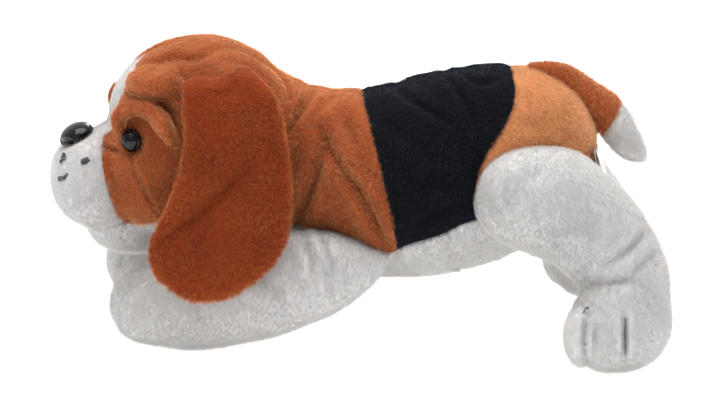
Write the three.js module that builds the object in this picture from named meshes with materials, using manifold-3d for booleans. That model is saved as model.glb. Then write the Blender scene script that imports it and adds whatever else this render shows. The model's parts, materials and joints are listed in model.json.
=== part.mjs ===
// A stuffed toy puppy that lies on its belly, with a voice module in its belly pocket.
// Millimetres, +Z up. The puppy faces -X, and its left side is -Y. The origin is on the floor,
// under the middle of its bounding box.
import * as THREE from "three";
import { mergeVertices } from "three/addons/utils/BufferGeometryUtils.js";
import Module from "manifold-3d";

// Fabric and fits
const SKIN = 2.6; // plush fabric with its backing
const GAP = 0.3; // between pieces that touch
const RUNNING = 1.0; // between pieces that move past each other
const FAR = 400; // longer than the puppy

// Joints
const NECK = { x: -52, z: 96, radius: 33 };
const HEAD_TURN = THREE.MathUtils.degToRad(9); // the head looks a little to its left
const SHOULDER = { x: -12, z: 40, radius: 33, inner: 25 };
const HIP = { x: 104, z: 82, radius: 36, inner: 31 };
const TAIL_ROOT = { x: 104, z: 142, radius: 8 };
const EAR_ROOT = { y: 41, z: 152 };
const RIGHT_EAR_LIFT = THREE.MathUtils.degToRad(9); // it rests on the right front leg
const RIGHT_FRONT_REACH = 12; // the right front leg stretches further forward

// Voice module, round its own vertical axis
const MODULE = { x: 30, z: 47, height: 22, radius: 29, wall: 2 };
const DOOR = { radius: 15.5, thickness: 2, screwInset: 2.2, countersink: 1.7 };
const CELL = { radius: 5.8, height: 5.4, ring: 7.2 };
const PLATE = { radius: 10, thickness: 0.4 };
const SPEAKER = { x: -9, radius: 14.5, height: 5.5 };
const BUTTON = { x: 18, radius: 6, flange: 7.5, proud: 4 };
const SCREW = { head: 1.9, shaft: 0.9, hole: 1.25, ring: 24.5, boss: 2.9 };

// Belly flap
const FLAP = { x: 30, length: 56, width: 42, thickness: 2.2, z: 31.6 };
const SLIT = { length: 38, width: 31 };
const TAPE = { length: 40, width: 8, thickness: 1 };

const wasm = await Module();
wasm.setup();

const puppy = new THREE.Group();
const torso = new THREE.Group();
const head = new THREE.Group(); // turns about the neck, with the ears and the neck gusset
head.position.set(NECK.x, 0, 0);
head.rotation.z = HEAD_TURN;
puppy.add(torso, head);

const material = (color, roughness, metalness = 0) =>
  new THREE.MeshStandardMaterial({ color, roughness, metalness });
const TAN = material(0xb5692f, 0.95);
const BLACK = material(0x17171b, 0.9);
const WHITE = material(0xe6e6ea, 0.95);
const STUFFING = material(0xf4f3ee, 1);
const GLOSS_BLACK = material(0x0b0b0d, 0.15);
const CLEAR_NYLON = material(0xdedcd2, 0.5);
const CASE_WHITE = material(0xd9dbdd, 0.45);
const BOARD_GREEN = material(0x1f5a35, 0.5);
const SPEAKER_GREY = material(0x3b3d40, 0.6);
const STEEL = material(0xb9bcc0, 0.3, 1);
const TAPE_WHITE = material(0xeeeeee, 0.9);
const RIBBON = material(0xefeef2, 0.6);

// ---- Solids ----

// A closed three.js geometry as a manifold-3d solid.
function solid(geometry) {
  const plain = new THREE.BufferGeometry();
  const source = geometry.index ? geometry.toNonIndexed() : geometry;
  plain.setAttribute("position", source.getAttribute("position"));
  const merged = mergeVertices(plain, 1e-4);
  return new wasm.Manifold(
    new wasm.Mesh({
      numProp: 3,
      vertProperties: merged.attributes.position.array,
      triVerts: new Uint32Array(merged.index.array),
    }),
  );
}

// A manifold-3d solid as a three.js geometry.
function geometryOf(body) {
  const mesh = body.getMesh();
  const geometry = new THREE.BufferGeometry();
  const points = new THREE.BufferAttribute(mesh.vertProperties, 3);
  geometry.setAttribute("position", points);
  geometry.setIndex(new THREE.BufferAttribute(mesh.triVerts, 1));
  return geometry;
}

function add(group, name, shape, finish) {
  const geometry = shape.isBufferGeometry ? shape : geometryOf(shape);
  geometry.computeVertexNormals();
  const mesh = new THREE.Mesh(geometry, finish);
  mesh.name = name;
  group.add(mesh);
  return mesh;
}

// The same mesh on the other side of the body.
function addMirrored(group, name, shape, finish) {
  const mesh = add(group, name, shape, finish);
  mesh.scale.y = -1;
  return mesh;
}

const box = (x0, x1, y0, y1, z0, z1) =>
  solid(
    new THREE.BoxGeometry(x1 - x0, y1 - y0, z1 - z0).translate(
      (x0 + x1) / 2,
      (y0 + y1) / 2,
      (z0 + z1) / 2,
    ),
  );

// A round bar of any radius from z0 to z1 about the line (x, y).
const upright = (x, y, radius, z0, z1, sides = 24) =>
  solid(
    new THREE.CylinderGeometry(radius, radius, z1 - z0, sides)
      .rotateX(Math.PI / 2)
      .translate(x, y, (z0 + z1) / 2),
  );

// A round bar from y0 to y1 about the line (x, z).
const crosswise = (x, z, radius, y0, y1, sides = 28) =>
  solid(
    new THREE.CylinderGeometry(radius, radius, y1 - y0, sides).translate(x, (y0 + y1) / 2, z),
  );

// A ring turned about +Z from an outline of [radius, height] points that closes on itself.
const turned = (outline, sides = 24) =>
  solid(
    new THREE.LatheGeometry(
      outline.map(([r, h]) => new THREE.Vector2(r, h)),
      sides,
    ).rotateX(Math.PI / 2),
  );

// A flat outline in the X-Z plane, made thick across Y.
function slab(outline, y0 = -FAR, y1 = FAR) {
  const shape = new THREE.Shape(outline.map(([x, z]) => new THREE.Vector2(x, z)));
  const geometry = new THREE.ExtrudeGeometry(shape, { depth: y1 - y0, bevelEnabled: false });
  return solid(geometry.rotateX(Math.PI / 2).translate(0, y1, 0));
}

// A stuffed form: a sphere whose rings are carried along a list of stations. Each station is
// { at: [x, y, z], wide, tall }, with wide along `across`. The first and last are points.
// Where `upright` is set every ring stands in the plane of `across` and that direction.
function stuffed(stations, { across = [0, 1, 0], upright: up, around = 24, along = 16 } = {}) {
  const centres = new THREE.CatmullRomCurve3(
    stations.map(({ at }) => new THREE.Vector3(...at)),
    false,
    "catmullrom",
    0.5,
  );
  const sizes = new THREE.CatmullRomCurve3(
    stations.map(({ wide, tall }) => new THREE.Vector3(wide, tall, 0)),
    false,
    "catmullrom",
    0.5,
  );
  const side = new THREE.Vector3(...across);
  const geometry = new THREE.SphereGeometry(1, around, along);
  const points = geometry.getAttribute("position");
  const unit = new THREE.Vector3();
  for (let i = 0; i < points.count; i += 1) {
    unit.fromBufferAttribute(points, i);
    const t = Math.acos(THREE.MathUtils.clamp(unit.y, -1, 1)) / Math.PI;
    const ring = Math.hypot(unit.x, unit.z) || 1;
    const size = sizes.getPoint(t);
    const rise = up
      ? new THREE.Vector3(...up)
      : centres.getTangent(t).cross(side).normalize();
    const point = centres
      .getPoint(t)
      .addScaledVector(side, (unit.x / ring) * Math.max(size.x, 0))
      .addScaledVector(rise, (unit.z / ring) * Math.max(size.y, 0));
    points.setXYZ(i, point.x, point.y, point.z);
  }
  return solid(geometry);
}

// The stations of a smaller form that lies `depth` inside, with its two ends drawn in as well.
function inside(stations, depth) {
  const last = stations.length - 1;
  return stations.map((station, i) => {
    const fromEnd = Math.min(i, last - i);
    const towards = stations[i < last / 2 ? i + 2 - fromEnd : i - 2 + fromEnd];
    const drawnIn = fromEnd < 2 ? depth * (fromEnd ? 0.8 : 1.3) : 0;
    const at = new THREE.Vector3(...station.at);
    const step = new THREE.Vector3(...towards.at).sub(at);
    if (drawnIn) at.addScaledVector(step.normalize(), drawnIn);
    const slimmer = (size) => (fromEnd ? Math.max(size - depth, 1) : 0);
    return { at: at.toArray(), wide: slimmer(station.wide), tall: slimmer(station.tall) };
  });
}

// A station that is given by its top, bottom and half width.
const level = ([x, top, bottom, half], y = 0) => ({
  at: [x, y, (top + bottom) / 2],
  wide: half,
  tall: (top - bottom) / 2,
});

const UPRIGHT = { upright: [0, 0, 1] };

// ---- Torso ----

const TORSO = [
  [-40, 100, 100, 0],
  [-37, 127, 73, 38],
  [-10, 136.5, 40, 49],
  [25, 139.5, 31.5, 50],
  [60, 147.5, 35.5, 51],
  [90, 151, 48.5, 48],
  [112, 137, 58, 41],
  [128, 119, 69, 31],
  [136, 105, 76, 20],
  [139, 90, 90, 0],
].map((row) => level(row));

// What the legs, the neck and the tail need to turn in.
function clearTorso(body) {
  const legs = [-1, 1].flatMap((side) => {
    const reach = (inner) => (side < 0 ? [-FAR, -inner] : [inner, FAR]);
    const [front0, front1] = reach(SHOULDER.inner - RUNNING);
    const [hind0, hind1] = reach(HIP.inner - RUNNING);
    const shoulderTop = SHOULDER.z + SHOULDER.radius + RUNNING;
    return [
      crosswise(SHOULDER.x, SHOULDER.z, SHOULDER.radius + RUNNING, front0, front1),
      box(-FAR, SHOULDER.x, front0, front1, 0, shoulderTop),
      crosswise(HIP.x, HIP.z, HIP.radius + RUNNING, hind0, hind1),
    ];
  });
  const neck = upright(NECK.x, 0, NECK.radius + RUNNING, 0, FAR, 32);
  const tail = solid(
    new THREE.SphereGeometry(TAIL_ROOT.radius + RUNNING, 10, 7).translate(
      TAIL_ROOT.x,
      0,
      TAIL_ROOT.z,
    ),
  );
  return [...legs, neck, tail].reduce((left, cutter) => left.subtract(cutter), body);
}

// The seams between the torso's panels, seen from the side.
const SADDLE_FRONT = [
  [2, 170],
  [8, 125],
  [15, 95],
  [23, 57],
];
const SADDLE_REAR = [
  [85, 170],
  [87, 140],
  [78, 120],
  [68, 102],
  [68, 73],
];
const BELLY_SEAM = [
  [-90, 74],
  [-16, 74],
  [-4, 57],
  [23, 57],
  [68, 73],
  [170, 80],
];
const moved = (outline, dx, dz) => outline.map(([x, z]) => [x + dx, z + dz]);
const HALF_GAP = GAP / 2;

function torsoRegions() {
  const top = SADDLE_FRONT[0][1];
  const front = moved(SADDLE_FRONT, -HALF_GAP, HALF_GAP);
  const middleFront = moved(SADDLE_FRONT, HALF_GAP, HALF_GAP);
  const middleRear = moved(SADDLE_REAR, -HALF_GAP, HALF_GAP);
  const rear = moved(SADDLE_REAR, HALF_GAP, HALF_GAP);
  return {
    shoulder_panel: slab([
      [-90, top],
      ...moved(BELLY_SEAM.slice(0, 3), 0, HALF_GAP),
      ...front.reverse(),
    ]),
    saddle_panel: slab([...middleFront, ...middleRear.reverse()]),
    rump_panel: slab([...rear, ...moved(BELLY_SEAM.slice(-1), 0, HALF_GAP), [170, top]]),
    belly_panel: slab([
      [-90, 0],
      [170, 0],
      ...moved(BELLY_SEAM, 0, -HALF_GAP).reverse(),
    ]),
  };
}

// An upright box about the middle of the flap, `margin` larger than `size` all round.
function aboutFlap(size, margin, z0, z1) {
  const [halfLength, halfWidth] = [size.length / 2 + margin, size.width / 2 + margin];
  return box(FLAP.x - halfLength, FLAP.x + halfLength, -halfWidth, halfWidth, z0, z1);
}

// The belly is open where the closed flap lies, and a flat facing with a slit fills the opening.
const FACING_Z = FLAP.z + FLAP.thickness + 2 * TAPE.thickness + 3 * GAP;
const FACING_TOP = FACING_Z + 1.8;

function addTorso() {
  const rings = { ...UPRIGHT, around: 18, along: 14 };
  const outer = stuffed(TORSO, rings);
  const hollow = stuffed(inside(TORSO, SKIN), rings);
  const mouth = aboutFlap(FLAP, RUNNING, 0, MODULE.z);
  const skin = clearTorso(outer.subtract(hollow).subtract(mouth));
  const colours = { belly_panel: WHITE, saddle_panel: BLACK };
  for (const [name, region] of Object.entries(torsoRegions())) {
    add(torso, name, skin.intersect(region), colours[name] ?? TAN);
  }
  const facing = aboutFlap(FLAP, RUNNING - GAP, FACING_Z, FACING_TOP)
    .subtract(aboutFlap(SLIT, 0, 0, MODULE.z));
  add(torso, "pocket_facing", facing, WHITE);
  const pocket = upright(
    MODULE.x,
    0,
    MODULE.radius + RUNNING,
    0,
    MODULE.z + MODULE.height + BUTTON.proud + RUNNING,
    20,
  );
  const filling = stuffed(inside(TORSO, SKIN + GAP), rings);
  const lined = filling.subtract(aboutFlap(FLAP, RUNNING, 0, FACING_TOP + GAP));
  add(torso, "torso_filling", clearTorso(lined).subtract(pocket), STUFFING);
}

// ---- Belly flap ----

function addFlap() {
  const { x, length, width, thickness, z } = FLAP;
  const flap = box(x - length / 2, x + length / 2, -width / 2, width / 2, z, z + thickness);
  add(torso, "pocket_flap", flap, WHITE);
  // The tapes lie along the free edge, between the slit and the edge.
  const tape = (z0) =>
    box(
      x - TAPE.length / 2,
      x + TAPE.length / 2,
      width / 2 - TAPE.width / 2 - GAP,
      width / 2 - GAP,
      z0,
      z0 + TAPE.thickness,
    );
  const hookZ = z + thickness + GAP;
  add(torso, "hook_tape", tape(hookZ), TAPE_WHITE);
  add(torso, "loop_tape", tape(hookZ + TAPE.thickness + GAP), TAPE_WHITE);
}

// ---- Voice module ----

function addModule() {
  const { x, z, height, radius, wall } = MODULE;
  const seat = new THREE.Group(); // the module's own axis, with z = 0 at its underside
  seat.position.set(x, 0, z);
  torso.add(seat);
  const split = height / 2;
  const inner = radius - wall;
  const boardZ = 10;
  const boardThickness = 1.6;
  const holes = (body, r, z0, z1) =>
    [-1, 1].reduce(
      (left, side) => left.subtract(upright(0, side * SCREW.ring, r, z0, z1, 10)),
      body,
    );

  // Lower case: a cup with a round battery window and a wall round the cells.
  const window = DOOR.radius + GAP;
  const lower = turned([
    [window, 0],
    [radius, 0],
    [radius, split - HALF_GAP],
    [inner, split - HALF_GAP],
    [inner, wall],
    [window + wall, wall],
    [window + wall, boardZ - 1],
    [window, boardZ - 1],
    [window, 0],
  ]);
  const countersunk = holes(holes(lower, SCREW.hole, -1, split), SCREW.head + GAP, -1, 1.5);
  add(seat, "module_case_lower", countersunk, CASE_WHITE);

  // Upper case: a cup with a grille over the speaker, a button hole and two screw bosses.
  const upperCup = turned([
    [0, height - wall],
    [inner, height - wall],
    [inner, split + HALF_GAP],
    [radius, split + HALF_GAP],
    [radius, height],
    [0, height],
  ]);
  const bossFoot = boardZ + boardThickness + GAP;
  const bosses = [-1, 1].map((side) =>
    upright(0, side * SCREW.ring, SCREW.boss, bossFoot, height - wall / 2, 10),
  );
  const grilleHoles = [];
  for (let i = 0; i < 6; i += 1) {
    const angle = (i * Math.PI) / 3;
    const ring = 6.5;
    const [gx, gy] = [SPEAKER.x + ring * Math.cos(angle), ring * Math.sin(angle)];
    grilleHoles.push(upright(gx, gy, 1.6, height - 2 * wall, height + 1, 8));
  }
  const joined = bosses.reduce((left, boss) => left.add(boss), upperCup);
  const grilled = [
    ...grilleHoles,
    upright(BUTTON.x, 0, BUTTON.radius + 0.5, height - 2 * wall, height + 1, 16),
  ].reduce((left, cutter) => left.subtract(cutter), joined);
  add(seat, "module_case_upper", holes(grilled, SCREW.hole, 0, height - wall), CASE_WHITE);

  // Battery door with its screw at the rim.
  const doorScrewX = DOOR.radius - DOOR.screwInset;
  const door = upright(0, 0, DOOR.radius, 0, DOOR.thickness, 24)
    .subtract(upright(doorScrewX, 0, SCREW.hole, -1, 4, 12))
    .subtract(upright(doorScrewX, 0, DOOR.countersink, -1, 1, 12));
  add(seat, "battery_door", door, CASE_WHITE);
  const screw = (headRadius, z0, headHeight, length) =>
    new THREE.LatheGeometry(
      [
        [0, z0],
        [headRadius, z0],
        [headRadius, z0 + headHeight],
        [SCREW.shaft, z0 + headHeight],
        [SCREW.shaft, z0 + length],
        [0, z0 + length],
      ].map(([r, h]) => new THREE.Vector2(r, h)),
      8,
    ).rotateX(Math.PI / 2);
  add(seat, "battery_door_screw", solid(screw(1.5, 0.1, 0.7, 1.8)), STEEL)
    .position.set(doorScrewX, 0, 0);
  [-1, 1].forEach((side, i) => {
    add(seat, `case_screw_${i + 1}`, solid(screw(SCREW.head, 0.1, 1.2, 18)), STEEL)
      .position.set(0, side * SCREW.ring, 0);
  });

  // Three button cells between two contact plates.
  const cellZ = DOOR.thickness + PLATE.thickness + 2 * GAP;
  const plate = (z0) => upright(0, 0, PLATE.radius, z0, z0 + PLATE.thickness, 12);
  add(seat, "battery_contact_lower", plate(DOOR.thickness + GAP), STEEL);
  add(seat, "battery_contact_upper", plate(cellZ + CELL.height + GAP), STEEL);
  for (let i = 0; i < 3; i += 1) {
    const angle = (i * 2 * Math.PI) / 3 + Math.PI;
    const cell = upright(
      CELL.ring * Math.cos(angle),
      CELL.ring * Math.sin(angle),
      CELL.radius,
      cellZ,
      cellZ + CELL.height,
      16,
    );
    add(seat, `button_cell_${i + 1}`, cell, STEEL);
  }

  // Circuit board, with holes that the case screws pass through.
  const board = upright(0, 0, inner - GAP, boardZ, boardZ + boardThickness, 24);
  add(seat, "circuit_board", holes(board, SCREW.hole, 0, height), BOARD_GREEN);

  // Speaker: a shallow basket with a magnet below and a cone above.
  const speakerTop = height - wall - GAP;
  const rim = speakerTop - SPEAKER.height;
  const speaker = turned([
    [0, rim - 1.6],
    [6, rim - 1.6],
    [6, rim + 1],
    [SPEAKER.radius, rim + 3],
    [SPEAKER.radius, speakerTop],
    [SPEAKER.radius - 1.5, speakerTop],
    [5, rim + 2.6],
    [3, rim + 3.4],
    [0, rim + 3.6],
  ]);
  add(seat, "speaker", speaker, SPEAKER_GREY).position.x = SPEAKER.x;

  // Button: a cap through the top, a flange under it and a stem in the spring.
  const flangeTop = height - wall - GAP;
  const button = turned(
    [
      [0, flangeTop - 4.2],
      [2, flangeTop - 4.2],
      [2, flangeTop - 1.4],
      [BUTTON.flange, flangeTop - 1.4],
      [BUTTON.flange, flangeTop],
      [BUTTON.radius, flangeTop],
      [BUTTON.radius, height + BUTTON.proud - 1],
      [BUTTON.radius - 1, height + BUTTON.proud],
      [0, height + BUTTON.proud],
    ],
    16,
  );
  add(seat, "press_button", button, CASE_WHITE).position.x = BUTTON.x;
  const springFoot = boardZ + boardThickness + GAP + 0.4;
  const springHead = flangeTop - 1.4 - GAP - 0.4;
  add(seat, "button_spring", coil(3.2, 0.35, springFoot, springHead, 3.5), STEEL)
    .position.x = BUTTON.x;
}

// An open coil spring: a wire section carried up a helix.
function coil(radius, wire, z0, z1, turns) {
  class Helix extends THREE.Curve {
    getPoint(t, target = new THREE.Vector3()) {
      const angle = t * turns * 2 * Math.PI;
      return target.set(radius * Math.cos(angle), radius * Math.sin(angle), z0 + (z1 - z0) * t);
    }
  }
  const section = new THREE.Shape(
    Array.from({ length: 5 }, (_, i) => {
      const angle = (i * 2 * Math.PI) / 5;
      return new THREE.Vector2(wire * Math.cos(angle), wire * Math.sin(angle));
    }),
  );
  const steps = Math.round(turns * 8);
  return solid(new THREE.ExtrudeGeometry(section, { extrudePath: new Helix(), steps }));
}

// ---- Neck ----

// A gusset that turns in the torso about an upright axis, and that the head nods on about a
// crosswise one. Each side of it is round about its own axis.
function addNeck() {
  const { z, radius } = NECK;
  const stations = (half) => [
    { at: [-60, 0, z], wide: 0, tall: 0 },
    { at: [-56, 0, z], wide: half - 4, tall: half - 4 },
    { at: [-30, 0, z], wide: half, tall: half },
    { at: [0, 0, z], wide: half, tall: half },
    { at: [30, 0, z], wide: half, tall: half },
    { at: [56, 0, z], wide: half - 4, tall: half - 4 },
    { at: [60, 0, z], wide: 0, tall: 0 },
  ];
  const shaped = (body, r) =>
    body
      .intersect(upright(0, 0, r, 0, FAR, 28).add(box(-FAR, 0, -FAR, FAR, 0, FAR)))
      .intersect(crosswise(0, z, r, -FAR, FAR, 28).add(box(0, FAR, -FAR, FAR, 0, FAR)));
  const half = radius - 4;
  const outer = stuffed(stations(half), { ...UPRIGHT, around: 16, along: 6 });
  const hollow = stuffed(stations(half - SKIN), { ...UPRIGHT, around: 16, along: 6 });
  const core = stuffed(stations(half - SKIN - GAP), { ...UPRIGHT, around: 16, along: 6 });
  add(head, "neck_gusset", shaped(outer.subtract(hollow), radius), TAN);
  add(head, "neck_filling", shaped(core, radius - GAP), STUFFING);
}

// ---- Head ----

// In the head's own frame: x is measured from the neck's axis.
const HEAD = [
  [-120.5, 90, 90, 0],
  [-118.5, 102, 74, 14],
  [-111, 112, 62, 23],
  [-99, 117.5, 54, 28],
  [-90, 122, 49, 31],
  [-81, 139, 45.5, 38],
  [-68, 155, 44.5, 45],
  [-48, 164.5, 45, 50],
  [-26, 167.4, 51, 51],
  [-6, 161.5, 62, 47],
  [5, 150, 76, 38],
  [8, 114, 114, 0],
].map((row) => level(row));

function clearHead(body) {
  const socket = crosswise(0, NECK.z, NECK.radius + RUNNING, -FAR, FAR, 28);
  const behind = box(0, FAR, -FAR, FAR, 0, NECK.z + 20);
  return body.subtract(socket).subtract(behind);
}

// Face panels, seen from the side. The blaze is a narrow strip up the middle of the forehead.
const FACE_SEAM = [
  [-94, 119],
  [-88, 112],
  [-87, 100],
  [-83, 82],
  [-78, 66],
];
const BLAZE_HALF = 8;

function headRegions() {
  const faceTop = FACE_SEAM[0];
  const jowlSeam = [
    [-140, 57],
    [-95, 57],
    [-78, 66],
    [30, 66],
  ];
  const muzzle = slab([
    ...moved(FACE_SEAM, -HALF_GAP, HALF_GAP),
    ...moved(jowlSeam.slice(0, 2), 0, HALF_GAP).reverse(),
    [-140, faceTop[1] + HALF_GAP],
  ]);
  const blaze = slab(
    [
      [-140, faceTop[1] + GAP],
      [-60, faceTop[1] + GAP],
      [-60, 200],
      [-140, 200],
    ],
    -BLAZE_HALF,
    BLAZE_HALF,
  );
  const chin = slab([[-140, 0], [30, 0], ...moved(jowlSeam, 0, -HALF_GAP).reverse()]);
  const widerBlaze = slab(
    [
      [-140, faceTop[1]],
      [-60 + GAP, faceTop[1]],
      [-60 + GAP, 200],
      [-140, 200],
    ],
    -BLAZE_HALF - GAP,
    BLAZE_HALF + GAP,
  );
  const crown = slab([
    ...moved(FACE_SEAM, HALF_GAP, 0),
    ...moved(jowlSeam.slice(2), HALF_GAP, HALF_GAP),
    [30, 200],
    [-140, 200],
    [-140, faceTop[1] + GAP],
  ]);
  return {
    head_panel: [crown.subtract(widerBlaze), TAN],
    blaze_panel: [blaze, WHITE],
    muzzle_panel: [muzzle, WHITE],
    chin_panel: [chin, WHITE],
  };
}

// A safety eye or nose: a domed front on a stem, held behind the fabric by a lock washer.
function safetyPiece(radius, bulge, stem, reach, sides) {
  const dome = [];
  const steps = 4;
  for (let i = 0; i <= steps; i += 1) {
    const angle = (i * Math.PI) / 2 / steps;
    dome.push([radius * Math.sin(angle), bulge * Math.cos(angle)]);
  }
  return turned([[0, -reach], [stem, -reach], [stem, 0], ...dome.reverse()], sides);
}
const washer = (stem, sides) =>
  turned(
    [
      [stem, -0.6],
      [stem + 3.5, -0.6],
      [stem + 3.5, 0.6],
      [stem, 0.6],
      [stem, -0.6],
    ],
    sides,
  );

const EYE = { at: [-75.5, 34.5, 114.5], radius: 6.4, bulge: 4, stem: 1.6, reach: 8 };
const NOSE = { at: [-107.5, 0, 110.5], radius: 9, bulge: 7, stem: 2, reach: 9 };

// Turns a piece that points along +Z to look along `direction`, and puts it at `at`.
function aim(shape, at, direction) {
  const turn = new THREE.Quaternion().setFromUnitVectors(
    new THREE.Vector3(0, 0, 1),
    new THREE.Vector3(...direction).normalize(),
  );
  return solid(geometryOf(shape).applyQuaternion(turn).translate(...at));
}

function addHead() {
  const rings = { ...UPRIGHT, around: 18, along: 14 };
  const outer = stuffed(HEAD, rings);
  const hollow = stuffed(inside(HEAD, SKIN), rings);
  const core = stuffed(inside(HEAD, SKIN + GAP), rings);

  const gaze = [-0.643, -0.766, 0.02];
  const [ex, ey, ez] = EYE.at;
  const along = (at, direction, distance) =>
    new THREE.Vector3(...at)
      .addScaledVector(new THREE.Vector3(...direction).normalize(), distance)
      .toArray();
  const eyeAt = [ex, -ey, ez];
  const sniff = [-0.8, 0, 0.6];
  const eye = safetyPiece(EYE.radius, EYE.bulge, EYE.stem, EYE.reach, 14);
  const eyePieces = {
    eye: aim(eye, eyeAt, gaze),
    eye_washer: aim(washer(EYE.stem + GAP, 10), along(eyeAt, gaze, 2 - EYE.reach), gaze),
  };
  const nosePieces = {
    nose: aim(
      safetyPiece(NOSE.radius, NOSE.bulge, NOSE.stem, NOSE.reach, 16),
      NOSE.at,
      sniff,
    ),
    nose_washer: aim(washer(NOSE.stem + GAP, 10), along(NOSE.at, sniff, 2 - NOSE.reach), sniff),
  };

  // Room in the fabric and the filling for each safety piece and its washer.
  const room = (at, direction, radius, stem, reach) => [
    aim(upright(0, 0, radius + GAP, -0.4, 20, 14), at, direction),
    aim(upright(0, 0, stem + 4.4, -reach - GAP, -SKIN - 0.6, 10), at, direction),
    aim(upright(0, 0, stem + GAP, -reach, 1, 8), at, direction),
  ];
  const mirrored = (shape) =>
    solid(
      new THREE.BufferGeometry()
        .copy(geometryOf(shape))
        .applyMatrix4(new THREE.Matrix4().makeScale(1, -1, 1))
        .setIndex([...shape.getMesh().triVerts].reverse()),
    );
  const left = room(eyeAt, gaze, EYE.radius, EYE.stem, EYE.reach);
  const cuts = [
    ...left,
    ...left.map(mirrored),
    ...room(NOSE.at, sniff, NOSE.radius, NOSE.stem, NOSE.reach),
  ];
  const fitted = (body) => cuts.reduce((rest, cutter) => rest.subtract(cutter), body);

  const skin = fitted(clearHead(outer.subtract(hollow)));
  for (const [name, [region, finish]] of Object.entries(headRegions())) {
    add(head, name, skin.intersect(region), finish);
  }
  add(head, "head_filling", fitted(clearHead(core)), STUFFING);
  for (const [name, shape] of Object.entries(eyePieces)) {
    const finish = name === "eye" ? GLOSS_BLACK : CLEAR_NYLON;
    add(head, `${name}_left`, shape, finish);
    addMirrored(head, `${name}_right`, shape, finish);
  }
  add(head, "nose", nosePieces.nose, GLOSS_BLACK);
  add(head, "nose_washer", nosePieces.nose_washer, CLEAR_NYLON);
}

// ---- Ears ----

// The left ear hangs from its root over the cheek and outside the front leg. `shift` moves a
// layer of it outwards.
const EAR = [
  { at: [-25, 38.5, 155], wide: 0 },
  { at: [-25, 41, 153.5], wide: 16 },
  { at: [-22, 54, 138], wide: 25 },
  { at: [-21, 62, 112], wide: 30 },
  { at: [-27, 69, 84], wide: 35 },
  { at: [-34, 75, 58], wide: 37 },
  { at: [-38, 78, 40], wide: 27 },
  { at: [-41, 79.5, 31], wide: 9 },
  { at: [-42, 80, 29.5], wide: 0 },
];
const EAR_LAYER = 3;

function earLayer(shift) {
  const stations = EAR.map(({ at: [x, y, z], wide }) => ({
    at: [x, -y - shift, z + shift * 0.35],
    wide,
    tall: wide ? EAR_LAYER / 2 : 0,
  }));
  return stuffed(stations, { across: [-1, 0, 0], around: 12, along: 12 });
}

function addEar(name, mirror) {
  const ear = new THREE.Group(); // hinges about a line along x at the ear's root
  ear.position.set(0, mirror ? EAR_ROOT.y : -EAR_ROOT.y, EAR_ROOT.z);
  ear.rotation.x = mirror ? RIGHT_EAR_LIFT : 0;
  head.add(ear);
  const placed = (shape) => geometryOf(shape).translate(0, EAR_ROOT.y, -EAR_ROOT.z);
  const put = mirror ? addMirrored : add;
  const offset = EAR_LAYER / 2 + HALF_GAP + 0.1;
  put(ear, `${name}_outer`, placed(earLayer(2 * offset)), TAN);
  put(ear, `${name}_lining`, placed(earLayer(0)), TAN);
}

// ---- Legs ----

const FRONT_LEG = [
  { at: [20, -42, 48], wide: 0, tall: 0 },
  { at: [16, -42, 46], wide: 14, tall: 14 },
  { at: [-10, -42, 40.5], wide: 26, tall: 29 },
  { at: [-45, -44, 33], wide: 26, tall: 32 },
  { at: [-80, -46, 27], wide: 25, tall: 28 },
  { at: [-110, -46, 24.5], wide: 24.5, tall: 26 },
  { at: [-128, -46, 24], wide: 19, tall: 18 },
  { at: [-135, -46, 24], wide: 0, tall: 0 },
];
const HIND_LEG = [
  { at: [77, -52, 106], wide: 0, tall: 0 },
  { at: [82, -52, 102], wide: 20, tall: 20 },
  { at: [100, -50, 86], wide: 26, tall: 34 },
  { at: [124, -56, 66], wide: 27, tall: 33 },
  { at: [141, -67, 44], wide: 25, tall: 26 },
  { at: [143, -78, 26], wide: 26, tall: 25 },
  { at: [141, -84, 8], wide: 26, tall: 26 },
  { at: [141, -86, -4], wide: 18, tall: 20 },
  { at: [141, -86, -8], wide: 0, tall: 0 },
];

// A leg is cut flat at its root, where it is sewn on, and under its paw. At its root it stays
// inside the round place that the torso leaves for it; `beyond` is where it is free of the torso.
function legBody({ stations, joint, beyond }, inner, depth) {
  const form = stuffed(depth ? inside(stations, depth) : stations, { around: 12, along: 10 });
  const turning = crosswise(joint.x, joint.z, joint.radius - depth, -FAR, FAR).add(beyond);
  return form.intersect(box(-FAR, FAR, -FAR, -inner, depth, FAR)).intersect(turning);
}

function addLeg(name, leg, reachRight) {
  const { inner } = leg.joint;
  const skin = legBody(leg, inner, 0).subtract(legBody(leg, inner - 5, SKIN));
  const filling = legBody(leg, inner, SKIN + GAP);
  const right = new THREE.Group();
  right.position.x = reachRight;
  torso.add(right);
  add(torso, `${name}_left_skin`, skin, WHITE);
  add(torso, `${name}_left_filling`, filling, STUFFING);
  addMirrored(right, `${name}_right_skin`, skin, WHITE);
  addMirrored(right, `${name}_right_filling`, filling, STUFFING);
}

// ---- Tail ----

const TAIL = [
  { at: [97, 0, 144.5], wide: 0, tall: 0 },
  { at: [98.5, 0, 144.2], wide: 5, tall: 5 },
  { at: [110, 0, 145.5], wide: 6.5, tall: 6 },
  { at: [124, 0, 138.5], wide: 8.5, tall: 7 },
  { at: [136, 0, 127.5], wide: 11, tall: 9.5 },
  { at: [146, 0, 116], wide: 12, tall: 10.5 },
  { at: [155, 0, 105], wide: 8, tall: 7 },
  { at: [161.5, 0, 98], wide: 2.5, tall: 2.2 },
  { at: [163, 0, 96.5], wide: 0, tall: 0 },
];
const TAIL_SKIN = 1.8;
const TAIL_SEAM = [
  [156, 145],
  [130, 100],
];

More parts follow.
